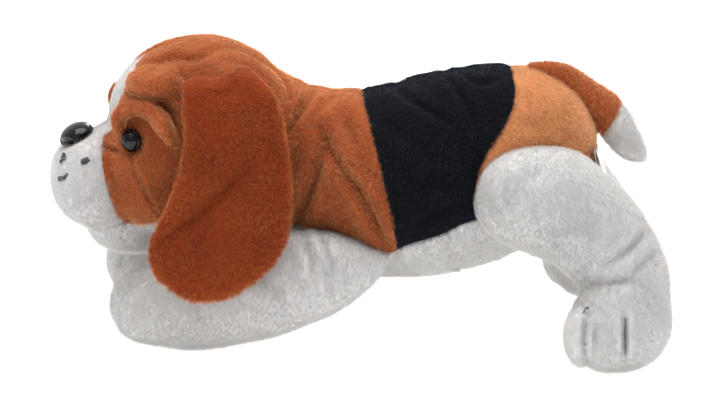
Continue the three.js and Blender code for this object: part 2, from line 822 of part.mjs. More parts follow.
function addTail() {
  const form = (depth) =>
    stuffed(depth ? inside(TAIL, depth) : TAIL, { around: 10, along: 12 });
  const skin = form(0).subtract(form(TAIL_SKIN));
  const [[x0, z0], [x1, z1]] = TAIL_SEAM;
  const baseSide = slab([
    [x0 - HALF_GAP, z0],
    [60, z0 + 60],
    [60, z1 - 60],
    [x1 - HALF_GAP, z1],
  ].reverse());
  const tipSide = slab([
    [x0 + HALF_GAP, z0],
    [x1 + HALF_GAP, z1],
    [230, z1 - 60],
    [230, z0 + 60],
  ].reverse());
  add(torso, "tail_base", skin.intersect(baseSide), TAN);
  add(torso, "tail_tip", skin.intersect(tipSide), WHITE);
  add(torso, "tail_filling", form(TAIL_SKIN + GAP), STUFFING);
}

// ---- Label ----

// A folded ribbon sewn into the rump seam beside the tail.
function addLabel() {
  const ribbon = new THREE.BoxGeometry(0.8, 20, 30)
    .rotateY(-0.2)
    .translate(141.5, -14, 88);
  add(torso, "sewn_label", ribbon, RIBBON);
}

addTorso();
addFlap();
addModule();
addNeck();
addHead();
addEar("ear_left", false);
addEar("ear_right", true);
addLeg(
  "front_leg",
  {
    stations: FRONT_LEG,
    joint: SHOULDER,
    beyond: box(-FAR, SHOULDER.x, -FAR, FAR, 0, SHOULDER.z + SHOULDER.radius),
  },
  -RIGHT_FRONT_REACH,
);
addLeg(
  "hind_leg",
  {
    stations: HIND_LEG,
    joint: HIP,
    beyond: box(HIP.x, FAR, -FAR, FAR, 0, HIP.z).add(box(126, FAR, -FAR, FAR, 0, 120)),
  },
  0,
);
addTail();
addLabel();

// Stand the middle of the bounding box over the origin.
const bounds = new THREE.Box3().setFromObject(puppy, true);
puppy.position.x = -(bounds.min.x + bounds.max.x) / 2;
puppy.position.y = -(bounds.min.y + bounds.max.y) / 2;

export default puppy;
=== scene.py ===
"""The plush puppy's looks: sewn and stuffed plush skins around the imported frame.

Shapes are drawn in millimetres. x runs from the nose to the paws of the hind legs, the left side
is -y and z is up, with the tail's root at x = 104. Every skin starts as a form, a function that
gives the distance to its surface, which is meshed, creased along its folds and seams, and cut
into the panels that it is sewn from.
"""

import json
import math

import bpy
import numpy as np
import openvdb
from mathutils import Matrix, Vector


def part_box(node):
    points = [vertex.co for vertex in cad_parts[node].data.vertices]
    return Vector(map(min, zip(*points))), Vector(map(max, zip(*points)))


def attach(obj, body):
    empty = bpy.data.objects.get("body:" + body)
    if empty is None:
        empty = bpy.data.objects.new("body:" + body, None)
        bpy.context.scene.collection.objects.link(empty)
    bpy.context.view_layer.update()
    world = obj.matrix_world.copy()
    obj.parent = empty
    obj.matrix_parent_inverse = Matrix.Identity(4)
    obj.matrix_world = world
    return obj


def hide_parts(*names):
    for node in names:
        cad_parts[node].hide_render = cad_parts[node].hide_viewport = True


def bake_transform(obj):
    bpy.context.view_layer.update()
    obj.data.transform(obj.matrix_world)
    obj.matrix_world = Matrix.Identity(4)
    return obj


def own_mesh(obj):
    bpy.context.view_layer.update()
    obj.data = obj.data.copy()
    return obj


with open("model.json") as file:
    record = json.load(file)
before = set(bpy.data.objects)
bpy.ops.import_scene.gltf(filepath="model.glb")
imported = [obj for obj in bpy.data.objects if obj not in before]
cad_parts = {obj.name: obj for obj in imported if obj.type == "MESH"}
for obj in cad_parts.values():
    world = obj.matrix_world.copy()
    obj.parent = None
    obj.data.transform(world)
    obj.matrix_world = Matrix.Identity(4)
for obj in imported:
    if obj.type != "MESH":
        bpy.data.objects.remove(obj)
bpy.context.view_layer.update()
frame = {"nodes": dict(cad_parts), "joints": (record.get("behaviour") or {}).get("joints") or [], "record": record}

MM = 0.001
JOINTS = {joint["name"]: joint for joint in frame["joints"]}
SHIFT = JOINTS["tail_wag"]["pos_m"][0] / MM - 104  # from the drawing's x to the frame's
NECK_X = JOINTS["neck_turn"]["pos_m"][0] / MM - SHIFT
NOD = JOINTS["head_nod"]["axis"]
TURN_COS, TURN_SIN = NOD[1], -NOD[0]  # the head looks a little to its left
RIGHT_FRONT_REACH = (
    JOINTS["front_leg_right_swing"]["pos_m"][0] - JOINTS["front_leg_left_swing"]["pos_m"][0]
) / MM
FABRIC = 1.6  # plush backing and pile root
MESH_STEP = 1.35  # between the points of a skin


def placed(name, data):
    """A new object in the scene."""
    thing = bpy.data.objects.new(name, data)
    bpy.context.scene.collection.objects.link(thing)
    return thing


# ---- Camera, floor and light ----

SOFTBOXES = {  # each one's place, size and watts
    "front": ((-0.5, -1.0, 0.9), (0.9, 0.7), 1.7),
    "top": ((0.0, -0.05, 1.2), (1.2, 0.9), 20),
    "rim": ((0.35, 1.0, 0.55), (0.9, 0.6), 8),
}


def aim(thing, at):
    thing.rotation_euler = (Vector(at) - thing.location).to_track_quat("-Z", "Y").to_euler()


def add_camera():
    data = bpy.data.cameras.new("camera")
    data.lens, data.sensor_width = 111.1, 36
    data.clip_start, data.clip_end = 0.05, 50
    camera = placed("camera", data)
    bpy.context.scene.camera = camera
    target = Vector((0.0045, 0, 0.0683))
    elevation, distance = math.radians(13.5), 1.25
    camera.location = target + distance * Vector((0, -math.cos(elevation), math.sin(elevation)))
    aim(camera, target)


def add_softbox(name, place, size, watts):
    data = bpy.data.lights.new(name, "AREA")
    data.shape, data.size, data.size_y = "RECTANGLE", size[0], size[1]
    data.energy = watts
    lamp = placed(name, data)
    lamp.location = place
    aim(lamp, (0, 0, 0.08))


def light_tent(tree):
    """A white tent, brighter behind the toy than in front of it."""
    place = tree.nodes.new("ShaderNodeTexCoord").outputs["Generated"]
    split = tree.nodes.new("ShaderNodeSeparateXYZ")
    spread = tree.nodes.new("ShaderNodeMapRange")
    ramp = {"From Min": -0.7, "From Max": 0.5, "To Min": 0.33, "To Max": 1.06}
    for key, value in ramp.items():
        spread.inputs[key].default_value = value
    background = tree.nodes["Background"]
    background.inputs["Color"].default_value = (0.985, 0.99, 1.0, 1)
    tree.links.new(place, split.inputs["Vector"])
    tree.links.new(split.outputs["Y"], spread.inputs["Value"])
    tree.links.new(spread.outputs["Result"], background.inputs["Strength"])


def add_studio():
    scene = bpy.context.scene
    scene.view_settings.view_transform = "Standard"
    world = bpy.data.worlds.new("studio")
    scene.world = world
    world.use_nodes = True
    light_tent(world.node_tree)
    for name, (place, size, watts) in SOFTBOXES.items():
        add_softbox(name, place, size, watts)
    bpy.ops.mesh.primitive_plane_add(size=12)
    floor = bpy.context.object
    floor.name = "floor"
    floor.data.materials.append(paper())


# ---- Materials ----


def linear(red, green, blue):
    """A display colour, 0 to 255, as scene-linear RGBA."""
    parts = [c / 255 for c in (red, green, blue)]
    curve = [c / 12.92 if c <= 0.04045 else ((c + 0.055) / 1.055) ** 2.4 for c in parts]
    return (*curve, 1)


class Finish:
    """A node material while it is made. `base` is its Principled shader."""

    def __init__(self, name, **constants):
        self.material = bpy.data.materials.new(name)
        self.material.use_nodes = True
        self.tree = self.material.node_tree
        self.base = self.tree.nodes["Principled BSDF"]
        self.feed(self.base, {key.replace("_", " "): value for key, value in constants.items()})
        self.place = self.node("TexCoord").outputs["Object"]

    def feed(self, node, inputs):
        for key, value in inputs.items():
            if isinstance(value, bpy.types.NodeSocket):
                self.tree.links.new(value, node.inputs[key])
            else:
                node.inputs[key].default_value = value

    def node(self, kind, inputs=None, **settings):
        node = self.tree.nodes.new("ShaderNode" + kind)
        for key, value in settings.items():
            setattr(node, key, value)
        self.feed(node, inputs or {})
        return node

    def noise(self, scale, detail=2.0, stretch=(1, 1, 1), turn=(0, 0, 0)):
        """Noise of about one feature in 1/scale metres, drawn out along an axis by stretch < 1."""
        mapped = self.node("Mapping", {"Vector": self.place, "Scale": stretch, "Rotation": turn})
        inputs = {"Vector": mapped.outputs["Vector"], "Scale": scale, "Detail": detail}
        return self.node("TexNoise", inputs).outputs["Fac"]

    def ramp(self, factor, *stops):
        """Colours at places along factor: (place, colour) pairs."""
        node = self.node("ValToRGB", {"Fac": factor})
        while len(node.color_ramp.elements) < len(stops):
            node.color_ramp.elements.new(0.5)
        for element, (place, colour) in zip(node.color_ramp.elements, stops):
            element.position, element.color = place, colour
        return node.outputs["Color"]

    def mix(self, factor, first, second):
        node = self.node("Mix", data_type="RGBA")
        for index, value in ((0, factor), (6, first), (7, second)):
            self.feed(node, {index: value})
        return node.outputs[2]

    def done(self, colour, height=None, strength=0.0, distance=0.0):
        """The material in its colour, bumped along height."""
        self.feed(self.base, {"Base Color": colour})
        if height:
            bump = {"Height": height, "Strength": strength, "Distance": distance}
            self.feed(self.base, {"Normal": self.node("Bump", bump).outputs["Normal"]})
        return self.material


PILE_TONES = {  # deep: painted shade between the strands, side: the colour of their sides, tip: painted light at their tips
    "tan_plush": (linear(120, 48, 18), linear(180, 92, 44), linear(250, 194, 136)),
    # the ears' tones: their own redder tone, darkened with painted shade where they face the dim front light
    "ear_plush": (linear(98, 26, 7), linear(150, 54, 16), linear(230, 146, 76)),
    # the rump's tones: the tan made lighter, painted light where the rump faces the top light
    "rump_plush": (linear(160, 94, 50), linear(222, 158, 104), linear(252, 220, 176)),
    "black_plush": (linear(2, 2, 4), linear(7, 7, 10), linear(50, 56, 72)),
    "white_plush": (linear(186, 184, 183), linear(206, 204, 202), linear(226, 225, 223)),
}


def velvet(tip):
    """The pale sheen of light that grazes the tips of the pile."""
    tint = tuple(share**0.5 for share in tip[:3]) + (1,)
    return {"Sheen_Weight": 0.9 - 0.6 * tip[2], "Sheen_Roughness": 0.4, "Sheen_Tint": tint}


def plush(name):
    """The plush cloth: mottled, with the fine streaks of a brushed pile."""
    deep, side, tip = PILE_TONES[name]
    finish = Finish(name, Roughness=0.95, Specular_IOR_Level=0.15, **velvet(tip))
    patches = finish.ramp(finish.noise(38, 3), (0.3, deep), (0.62, side))
    streaks = finish.noise(700, 3, (1, 1, 0.3), (0, 0.5, 0))
    flecks = finish.ramp(streaks, (0.35, deep), (0.7, side))
    # the deep tone mixed in here is the pile's painted shade from between the strands
    colour = finish.mix(0.4, finish.mix(0.5, deep, patches), flecks)
    return finish.done(colour, streaks, 0.5, 0.0006)


def pile(name):
    """The strands of the plush, with painted shade darkening them towards the cloth and painted light at their
    tips.
    """
    deep, side, tip = PILE_TONES[name]
    finish = Finish(name + "_pile", Roughness=0.7, Specular_IOR_Level=0.25, **velvet(tip))
    along = finish.node("HairInfo").outputs["Intercept"]
    # painted shade at each strand's root, painted light at its tip
    strand = finish.ramp(along, (0.0, deep), (0.5, side), (0.95, tip))
    patches = finish.ramp(finish.noise(42, 3), (0.35, deep), (0.6, tip))
    colour = finish.mix(0.16, strand, patches)
    glow = finish.node("BsdfTranslucent", {"Color": colour}).outputs["BSDF"]
    both = finish.node("MixShader", {0: 0.42, 1: finish.base.outputs["BSDF"], 2: glow})
    finish.feed(finish.tree.nodes["Material Output"], {"Surface": both.outputs["Shader"]})
    return finish.done(colour)


def gloss():
    """Moulded black plastic with a clear coat."""
    finish = Finish("gloss_black", Roughness=0.12, Specular_IOR_Level=0.2, Coat_Weight=0.06)
    swirl = finish.ramp(finish.noise(150, 2), (0.3, linear(6, 6, 8)), (0.8, linear(17, 18, 22)))
    return finish.done(swirl, finish.noise(260, 1), 0.08, 0.0002)


def thread(name, colour):
    """Twisted embroidery thread."""
    finish = Finish(name, Roughness=0.75, Sheen_Weight=0.3)
    twist = finish.noise(1400, 2, (1, 1, 0.35))
    shades = finish.ramp(twist, (0.3, colour), (0.8, tuple(min(1, c * 2.2) for c in colour)))
    return finish.done(shades, twist, 0.6, 0.0003)


def ribbon():
    """Woven satin ribbon with two thin lengthwise stripes."""
    finish = Finish("label_ribbon", Roughness=0.45, Sheen_Weight=0.4)
    across = finish.node("SeparateXYZ", {"Vector": finish.place}).outputs["Y"]
    wave = finish.node("Math", {0: across, 1: 700.0}, operation="MULTIPLY").outputs[0]
    stripe = finish.node("Math", {0: wave}, operation="SINE").outputs[0]
    colours = (linear(222, 213, 204), linear(140, 126, 172))
    striped = finish.ramp(stripe, (0.86, colours[0]), (0.93, colours[1]))
    weave = finish.noise(2600, 1, (1, 1, 3))
    return finish.done(finish.mix(0.12, striped, weave), weave, 0.4, 0.0001)


def moulded(name, colour, roughness, metallic=0.0, grain=900, stretch=(1, 1, 1)):
    """Moulded plastic, board or metal with a fine grain."""
    finish = Finish(name, Roughness=roughness, Metallic=metallic)
    marks = finish.noise(grain, 3, stretch)
    darker = tuple(c * 0.72 for c in colour[:3]) + (1,)
    return finish.done(finish.ramp(marks, (0.3, darker), (0.6, colour)), marks, 0.15, 0.0001)


def paper():
    """The pale floor, lit a little by itself like a light table."""
    lit = {"Emission_Color": (1, 1, 1, 1), "Emission_Strength": 0.75}
    finish = Finish("paper_floor", Roughness=0.9, **lit)
    shades = (0.3, linear(246, 246, 247)), (0.7, linear(250, 250, 251))
    return finish.done(finish.ramp(finish.noise(6, 2), *shades))


# ---- Forms: the distance from each point to a surface, negative inside ----


def ball(x, y, z, centre, radii):
    """About the distance to an ellipsoid."""
    parts = [(v - c) / r for v, c, r in zip((x, y, z), centre, radii)]
    far = np.sqrt(sum(part * part for part in parts))
    slope = np.sqrt(sum((part / r) ** 2 for part, r in zip(parts, radii)))
    return far * (far - 1) / np.maximum(slope, 1e-9)


def flowing(stations, steps=5):
    """A smooth row of points through the stations."""
    rows = np.array(stations, float)
    rows = np.vstack([2 * rows[0] - rows[1], rows, 2 * rows[-1] - rows[-2]])
    t = np.linspace(0, 1, steps, endpoint=False)[:, None]
    made = []
    for a, b, c, d in zip(rows, rows[1:], rows[2:], rows[3:]):
        curve = 2 * a - 5 * b + 4 * c - d
        made.append(b + 0.5 * ((c - a) * t + curve * t**2 + (3 * b - a - 3 * c + d) * t**3))
    return np.vstack([*made, rows[-2:-1]])


def limb(x, y, z, stations, steps=4):
    """The distance to a round form through (x, y, z, radius) stations."""
    row = flowing(stations, steps)
    nearest = None
    for (ax, ay, az, ar), (bx, by, bz, br) in zip(row, row[1:]):
        sx, sy, sz = bx - ax, by - ay, bz - az
        t = ((x - ax) * sx + (y - ay) * sy + (z - az) * sz) / (sx * sx + sy * sy + sz * sz)
        t = np.clip(t, 0, 1)
        away = (x - ax - t * sx) ** 2 + (y - ay - t * sy) ** 2 + (z - az - t * sz) ** 2
        distance = np.sqrt(away) - ar - t * (br - ar)
        nearest = distance if nearest is None else np.minimum(nearest, distance)
    return nearest


def join(a, b, soft):
    """Both forms, with a fillet of about `soft` where they meet."""
    fillet = np.maximum(soft - np.abs(a - b), 0) / soft
    return np.minimum(a, b) - fillet * fillet * soft / 4


def without(a, b, soft):
    """Form a with form b taken out."""
    return -join(-a, b, soft)


def flattened(form, soft=2):
    """The form, resting flat on the floor at z = 0."""
    return lambda x, y, z: without(form(x, y, z), z + 0 * x + 0 * y, soft)


def in_head(x, y):
    """(x, y) as (distance behind the neck's axis, distance to the head's right)."""
    dx = x - NECK_X
    return dx * TURN_COS + y * TURN_SIN, y * TURN_COS - dx * TURN_SIN


def from_head(u, v):
    """The drawing's (x, y) of a place in the head."""
    return NECK_X + u * TURN_COS - v * TURN_SIN, u * TURN_SIN + v * TURN_COS


# ---- Meshes: (points, triangles) arrays ----


def corners_of(points, triangles):
    return (points[triangles[:, i]] for i in range(3))


def edges_of(triangles):
    return np.concatenate([triangles[:, [i, (i + 1) % 3]] for i in range(3)])


def surface(form, low, high, step=MESH_STEP):
    """The surface of a form, between two corners."""
    axes = [np.arange(a, b + step, step) for a, b in zip(low, high)]
    values = form(*np.meshgrid(*axes, indexing="ij", sparse=True))
    grid = openvdb.FloatGrid(3.0)
    grid.copyFromArray(np.clip(values / step, -3, 3).astype(np.float32))
    points, quads = grid.convertToQuads()
    points = np.array(low, float) + points.astype(float) * step
    quads = quads.astype(np.int64)
    triangles = np.vstack([quads[:, [0, 1, 2]], quads[:, [0, 2, 3]]])
    a, b, c = corners_of(points, triangles)
    if np.einsum("ij,ij->", a, np.cross(b, c)) < 0:
        triangles = triangles[:, ::-1]
    points = evened(points, triangles, 3)
    for _ in range(2):
        points = settled(points, form, step)
    return points, triangles


def settled(points, form, step):
    """The points moved onto the surface of the form."""
    here = form(*points.T)
    nudge = 0.05 * step
    rises = []
    for axis in np.eye(3) * nudge:
        rises.append((form(*(points + axis).T) - form(*(points - axis).T)) / (2 * nudge))
    slope = np.stack(rises, axis=1)
    move = here / np.maximum((slope**2).sum(1), 0.05)
    return points - slope * np.clip(move, -step, step)[:, None]


def evened(points, triangles, rounds):
    """The points, each drawn halfway to the middle of its neighbours, a few times over."""
    ends = edges_of(triangles)
    here, there = np.concatenate([ends, ends[:, ::-1]]).T
    count = np.bincount(here, minlength=len(points))[:, None]
    for _ in range(rounds):
        total = [np.bincount(here, points[there, k], len(points)) for k in range(3)]
        points = 0.5 * points + 0.5 * np.stack(total, axis=1) / np.maximum(count, 1)
    return points


def normals_of(points, triangles):
    a, b, c = corners_of(points, triangles)
    faces = np.cross(b - a, c - a)
    made = np.zeros_like(points)
    for i in range(3):
        np.add.at(made, triangles[:, i], faces)
    return made / np.maximum(np.linalg.norm(made, axis=1), 1e-12)[:, None]


def pressed(mesh, relief):
    """The mesh, raised along its normals by relief(points)."""
    points, triangles = mesh
    return points + normals_of(points, triangles) * relief(points)[:, None], triangles


SNAP = 0.12  # a point this near to a cut lies on it


def cut(mesh, side):
    """The same surface, with each triangle wholly on one side of the line side(points) = 0."""
    points, triangles = mesh
    value = side(points)
    value[np.abs(value) < SNAP] = 0
    signs = np.sign(value)[triangles]
    crossing = np.stack([signs[:, i] * signs[:, (i + 1) % 3] < 0 for i in range(3)], axis=1)
    edges = np.concatenate([triangles[crossing[:, i]][:, [i, (i + 1) % 3]] for i in range(3)])
    keys = np.unique(edges.min(1) * len(points) + edges.max(1))
    a, b = keys // len(points), keys % len(points)
    share = (value[a] / (value[a] - value[b]))[:, None]
    grown = np.vstack([points, points[a] + share * (points[b] - points[a])])

    def between(p, q):
        key = np.minimum(p, q) * len(points) + np.maximum(p, q)
        return len(points) + np.searchsorted(keys, key)

    def turned_to(rows, first):
        return np.take_along_axis(rows, (first[:, None] + np.arange(3)) % 3, axis=1).T

    crossings = crossing.sum(1)
    two, one = crossings == 2, crossings == 1
    lone = np.argmin(crossing[two], axis=1)  # the edge that isn't crossed is opposite it
    p, q, r = turned_to(triangles[two], (lone + 2) % 3)
    pq, pr = between(p, q), between(p, r)
    s, t, u = turned_to(triangles[one], (np.argmax(crossing[one], axis=1) + 2) % 3)
    tu = between(t, u)
    split = [(p, pq, pr), (pq, q, r), (pq, r, pr), (s, t, tu), (s, tu, u)]
    whole = [triangles[crossings == 0], *[np.stack(corners, axis=1) for corners in split]]
    return grown, np.concatenate(whole)


def kept(mesh, *sides):
    """The part of a cut mesh where every side(points) is positive."""
    points, triangles = mesh
    middles = points[triangles].mean(axis=1)
    inside = np.all([side(middles) > 0 for side in sides], axis=0)
    used, triangles = np.unique(triangles[inside], return_inverse=True)
    return points[used], triangles.reshape(-1, 3), used


def shell(points, triangles, normals):
    """A patch of cloth as a closed body, with its second face inside the first."""
    count = len(points)
    ends = edges_of(triangles)
    keys = ends[:, 0] * count + ends[:, 1]
    back = ends[:, 1] * count + ends[:, 0]
    rim = ends[~np.isin(keys, back)]
    a, b = rim.T
    sides = np.vstack([np.stack([b, a, a + count], 1), np.stack([b, a + count, b + count], 1)])
    inner = triangles[:, ::-1] + count
    return np.vstack([points, points - normals * FABRIC]), np.vstack([triangles, inner, sides])


def mirrored(mesh, shift=0.0):
    points, triangles = mesh
    return points * (1, -1, 1) + (shift, 0, 0), triangles[:, ::-1]


def add_object(name, points, triangles, *materials):
    """A smooth mesh object, from points in the drawing."""
    mesh = bpy.data.meshes.new(name)
    mesh.from_pydata(((points + (SHIFT, 0, 0)) * MM).tolist(), [], triangles.tolist())
    mesh.polygons.foreach_set("use_smooth", np.ones(len(triangles), bool))
    for material in materials:
        mesh.materials.append(material)
    return placed(name, mesh)


def add_sheet(name, grid, material, thickness, offset=-1.0, left_out=None):
    """A smooth sheet through a grid of points in metres, but for the places left out."""
    rows, columns = grid.shape[:2]
    quads = []
    for i in range(rows - 1):
        for j in range(columns - 1):
            if left_out is None or not left_out(*(grid[i, j] + grid[i + 1, j + 1])[:2] / 2):
                a = i * columns + j
                quads.append((a, a + columns, a + columns + 1, a + 1))
    mesh = bpy.data.meshes.new(name)
    mesh.from_pydata(grid.reshape(-1, 3).tolist(), [], quads)
    mesh.polygons.foreach_set("use_smooth", [True] * len(quads))
    mesh.materials.append(material)
    sheet = placed(name, mesh)
    cloth = sheet.modifiers.new("cloth", "SOLIDIFY")
    cloth.thickness, cloth.offset = thickness, offset
    return sheet


def fitted(piece, body, slot, *nodes):
    """A piece on its body, in place of CAD nodes. The slot argument is not used."""
    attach(piece, body)
    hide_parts(*nodes)


# ---- Plush pieces ----

CHILDREN = 24  # rendered strands round each guide strand
PILE = {"per_mm2": 0.2, "length": 2.1}
DOWN, BACK, OFF_TAIL = (0.45, 0, -0.9), (0.75, 0, -0.65), (0.8, 0, -0.6)  # the way the pile lies
PANELS = {  # each one's body, tones and lie of its pile, and the CAD nodes that it stands for
    "shoulder_skin": ("torso", "tan_plush", DOWN, "shoulder_panel", "torso_filling"),
    "saddle_skin": ("torso", "black_plush", BACK, "saddle_panel"),
    "rump_skin": ("torso", "rump_plush", BACK, "rump_panel"),
    "belly_skin": ("torso", "white_plush", BACK, "belly_panel"),
    "neck_skin_lower": (None, "tan_plush", DOWN, "neck_gusset", "neck_filling"),
    "neck_skin_upper": (None, "tan_plush", DOWN),
    "head_skin": ("head", "tan_plush", BACK, "head_panel", "head_filling"),
    "blaze_skin": ("head", "white_plush", BACK, "blaze_panel"),
    "muzzle_skin": ("head", "white_plush", BACK, "muzzle_panel"),
    "chin_skin": ("head", "white_plush", BACK, "chin_panel"),
    "tail_base_skin": ("tail", "tan_plush", OFF_TAIL, "tail_base", "tail_filling"),
    "tail_tip_skin": ("tail", "white_plush", OFF_TAIL, "tail_tip"),
}
plush_of = {name: plush(name) for name in PILE_TONES}
pile_of = {name: pile(name) for name in PILE_TONES}


def grow_pile(piece, outer, area, lean, seed):
    """Short strands over the outer face of a piece, brushed towards lean."""
    group = piece.vertex_groups.new(name="outer")
    group.add(range(outer), 1.0, "REPLACE")
    piece.modifiers.new("pile", "PARTICLE_SYSTEM")
    system = piece.particle_systems[0]
    system.seed = seed
    system.vertex_group_density = "outer"
    strands = system.settings
    strands.type = "HAIR"
    strands.count = int(area * PILE["per_mm2"])
    strands.use_advanced_hair = True
    strands.hair_step = 3
    strands.render_step = 3
    speed = PILE["length"] * MM / 4  # a strand is as long as four times its starting speed
    strands.normal_factor = 0.86 * speed
    strands.object_align_factor = [0.36 * speed * part for part in lean]
    strands.factor_random = 0.2 * speed
    strands.child_type = "INTERPOLATED"
    strands.rendered_child_count = CHILDREN
    strands.clump_factor = 0.12
    strands.roughness_2 = 0.0011
    strands.roughness_2_size = 1.0
    strands.roughness_endpoint = 0.0006
    strands.root_radius = 1.0
    strands.tip_radius = 0.25
    strands.radius_scale = 0.00011
    strands.material = 2


def add_plush(name, patch, normals, body, tones, lean):
    """A padded piece of plush: its closed cloth and its pile, riding on a body."""
    points, triangles = patch
    solid = shell(points, triangles, normals)
    piece = add_object(name, *solid, plush_of[tones], pile_of[tones])
    a, b, c = corners_of(points, triangles)
    area = np.linalg.norm(np.cross(b - a, c - a), axis=1).sum() / 2
    seed = sum(ord(letter) for letter in name)
    grow_pile(piece, len(points), area, lean, seed)
    if body:
        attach(piece, body)
    return piece


def add_panels(mesh, seams):
    """Sews panels out of one mesh, each the part on the positive side of all its seams."""
    normals = normals_of(*mesh)
    pieces = {}
    for name, sides in seams.items():
        body, tones, lean, *nodes = PANELS[name]
        *patch, used = kept(mesh, *sides)
        pieces[name] = add_plush(name, patch, normals[used], body, tones, lean)
        if nodes:
            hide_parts(*nodes)
    return pieces


# ---- Relief: folds and seams, drawn on the puppy's side ----


def beside(a, b, line):
    """How far (a, b) lies on the +a side of a line of (a, b) points whose b only grows."""
    row = flowing(line)
    here = np.interp(b, row[:, 1], row[:, 0])
    slope = np.interp(b, row[:, 1], np.gradient(row[:, 0], row[:, 1]))
    return (a - here) / np.sqrt(1 + slope**2)


def near(a, b, line):
    """The distance from (a, b) to a smooth line, and how far along it that is, from 0 to 1."""
    row = flowing(line, 3)
    best, share = np.full(len(a), np.inf), np.zeros(len(a))
    for i, (start, end) in enumerate(zip(row, row[1:])):
        step = end - start
        t = np.clip(((a - start[0]) * step[0] + (b - start[1]) * step[1]) / (step @ step), 0, 1)
        distance = np.hypot(a - start[0] - t * step[0], b - start[1] - t * step[1])
        closer = distance < best
        best = np.where(closer, distance, best)
        share = np.where(closer, (i + t) / (len(row) - 1), share)
    return best, share


def fold(a, b, line, depth, width):
    """A crease between two soft swells, fading out at its ends."""
    distance, share = near(a, b, line)
    fade = np.sqrt(np.sin(np.pi * np.clip(share, 0.03, 0.97)))
    groove = np.exp(-((distance / width) ** 2))
    swell = np.exp(-(((distance - 2.1 * width) / (1.4 * width)) ** 2))
    return depth * fade * (0.5 * swell - groove)


def folds(a, b, lines):
    """All the creases of a list of (line, depth, width)."""
    return sum(fold(a, b, *each) for each in lines)


def seam(distance, depth=1.5, width=1.9):
    """The pinch of a seam, with the stuffing rounding the fabric on both sides."""
    pinch = np.exp(-((distance / width) ** 2))
    rounding = np.exp(-((distance / (3.2 * width)) ** 2))
    return -depth * (0.65 * pinch + 0.35 * rounding)


def lumps(points, size=24.0, height=0.7):
    """The slight unevenness of stuffing."""
    x, y, z = points.T / size
    waves = np.sin(2.1 * x + 1.3 * y + 0.4) * np.sin(1.7 * z - 1.1 * x + 1.9)
    finer = np.sin(4.3 * x - 3.1 * z + 0.7) * np.sin(3.7 * y + 2.9 * z + 2.2)
    return height * (0.7 * waves + 0.35 * finer)


def step_up(value, start, end):
    """A smooth rise from 0 at start to 1 at end."""
    t = np.clip((value - start) / (end - start), 0, 1)
    return t * t * (3 - 2 * t)


# ---- Torso, neck and head: one stuffed form ----

TORSO = [(-4, 0, 85.5, 44.5), (25, 0, 84.5, 53), (58, 0, 91.8, 54.5), (84, 0, 101.5, 46.5)]
TORSO += [(99, 0, 93, 36)]
NECK = [(-50, 0, 109, 36), (-32, 0, 102, 36), (-14, 0, 95.5, 36.8), (-2, 0, 93, 39)]
SADDLE_FRONT = [(24, 20), (22.5, 57), (15, 95), (7.5, 124), (0.5, 146), (-3, 175)]
SADDLE_REAR = [(68, 20), (67, 73), (65, 92), (70, 108), (81, 124), (87, 137), (86, 150), (84, 175)]
BELLY_SEAM = [(66, -90), (66, -30), (61, -6), (52.5, 18), (57.5, 27), (64, 45), (74, 68)]
BELLY_SEAM += [(77, 110), (80, 170)]


def torso_form(x, y, z):
    barrel = limb(x, y / 0.94, z, TORSO)
    rump = ball(x, y, z, (99, 0, 114.5), (28, 30, 29.5))
    return join(barrel, rump, 12)


HEAD_BALLS = [  # each one's centre, radii and fillet, as (u, v, z) with v the same on both sides
    ((-54, 0, 125), (27.5, 33, 32), 12),  # forehead
    ((-56, 20, 95), (32, 24.5, 32), 12),  # cheeks
    ((-72, 0, 66), (27, 25, 18.5), 5),  # chin
    ((-86, 0, 91), (30, 32.5, 25.5), 5),  # muzzle
    ((-94, 13, 87.5), (21.5, 19, 21.5), 8),  # jowls
    ((-84, 0, 109.5), (9, 13, 10.5), 6),  # bridge of the nose
]
EAR_SEAT = ((-27, 31, 146), (17, 11, 8))
EYE_SOCKET = ((-76, 38, 116.5), (8.5, 6.5, 9))
LID = [(-81, 30, 121.5, 2.6), (-81.5, 31, 127, 2.9), (-78.5, 33.5, 133.5, 3.2)]
LID += [(-68, 39.5, 135.5, 3.2), (-61, 43, 131.5, 4.2), (-57, 45, 126, 3.8), (-53.5, 46, 118.5, 2.2)]


def head_form(x, y, z):
    u, v = in_head(x, y)
    w = np.abs(v)
    form = ball(u, v, z, (-32, 0, 117), (50, 47, 49.5))
    for centre, radii, soft in HEAD_BALLS:
        form = join(form, ball(u, w, z, centre, radii), soft)
    brow_z = 147 - 11 * (v > 0)  # the right brow is pressed lower
    form = join(form, ball(u, w, z, (-59, 27, brow_z), (17, 15.5, 8.6)), 4)
    form = join(form, ball(u, w, z, *EAR_SEAT), 6)
    form = join(form, limb(u, w, z, LID, 3), 2.6)
    return without(form, ball(u, w, z, *EYE_SOCKET), 2.6)


def fore_form(x, y, z):
    neck = limb(x, y, z, NECK)
    return join(join(torso_form(x, y, z), neck, 16), head_form(x, y, z), 7)


NECKLINE = Vector((-0.9, 0, 0.436)).normalized()  # from the torso to the head
NAPE_Z = 137
NECK_PLACES = {"torso": -8.0, "middle": -20.0, "head": -32.0}  # where each ring meets NAPE_Z


def neck_side(place):
    """How far points lie towards the head from the ring at a place on the nape."""
    start = NECK_PLACES[place]
    return lambda p: (p[:, 0] - start) * NECKLINE.x + (p[:, 2] - NAPE_Z) * NECKLINE.z


def opposite(side):
    return lambda p: -side(p)


def saddle_front(p):
    return beside(p[:, 0], p[:, 2], SADDLE_FRONT)


def saddle_rear(p):
    return beside(p[:, 0], p[:, 2], SADDLE_REAR)


def above_belly(p):
    return beside(p[:, 2], p[:, 0], BELLY_SEAM)


MOUTH = {"x": 30, "half_length": 28.5, "half_width": 21.5, "top": 45}


def pocket_mouth(p):
    """Positive outside the opening under the belly that the flap covers."""
    across = np.abs(p[:, 1]) - MOUTH["half_width"]
    along = np.abs(p[:, 0] - MOUTH["x"]) - MOUTH["half_length"]
    return np.maximum(np.maximum(across, along), p[:, 2] - MOUTH["top"])


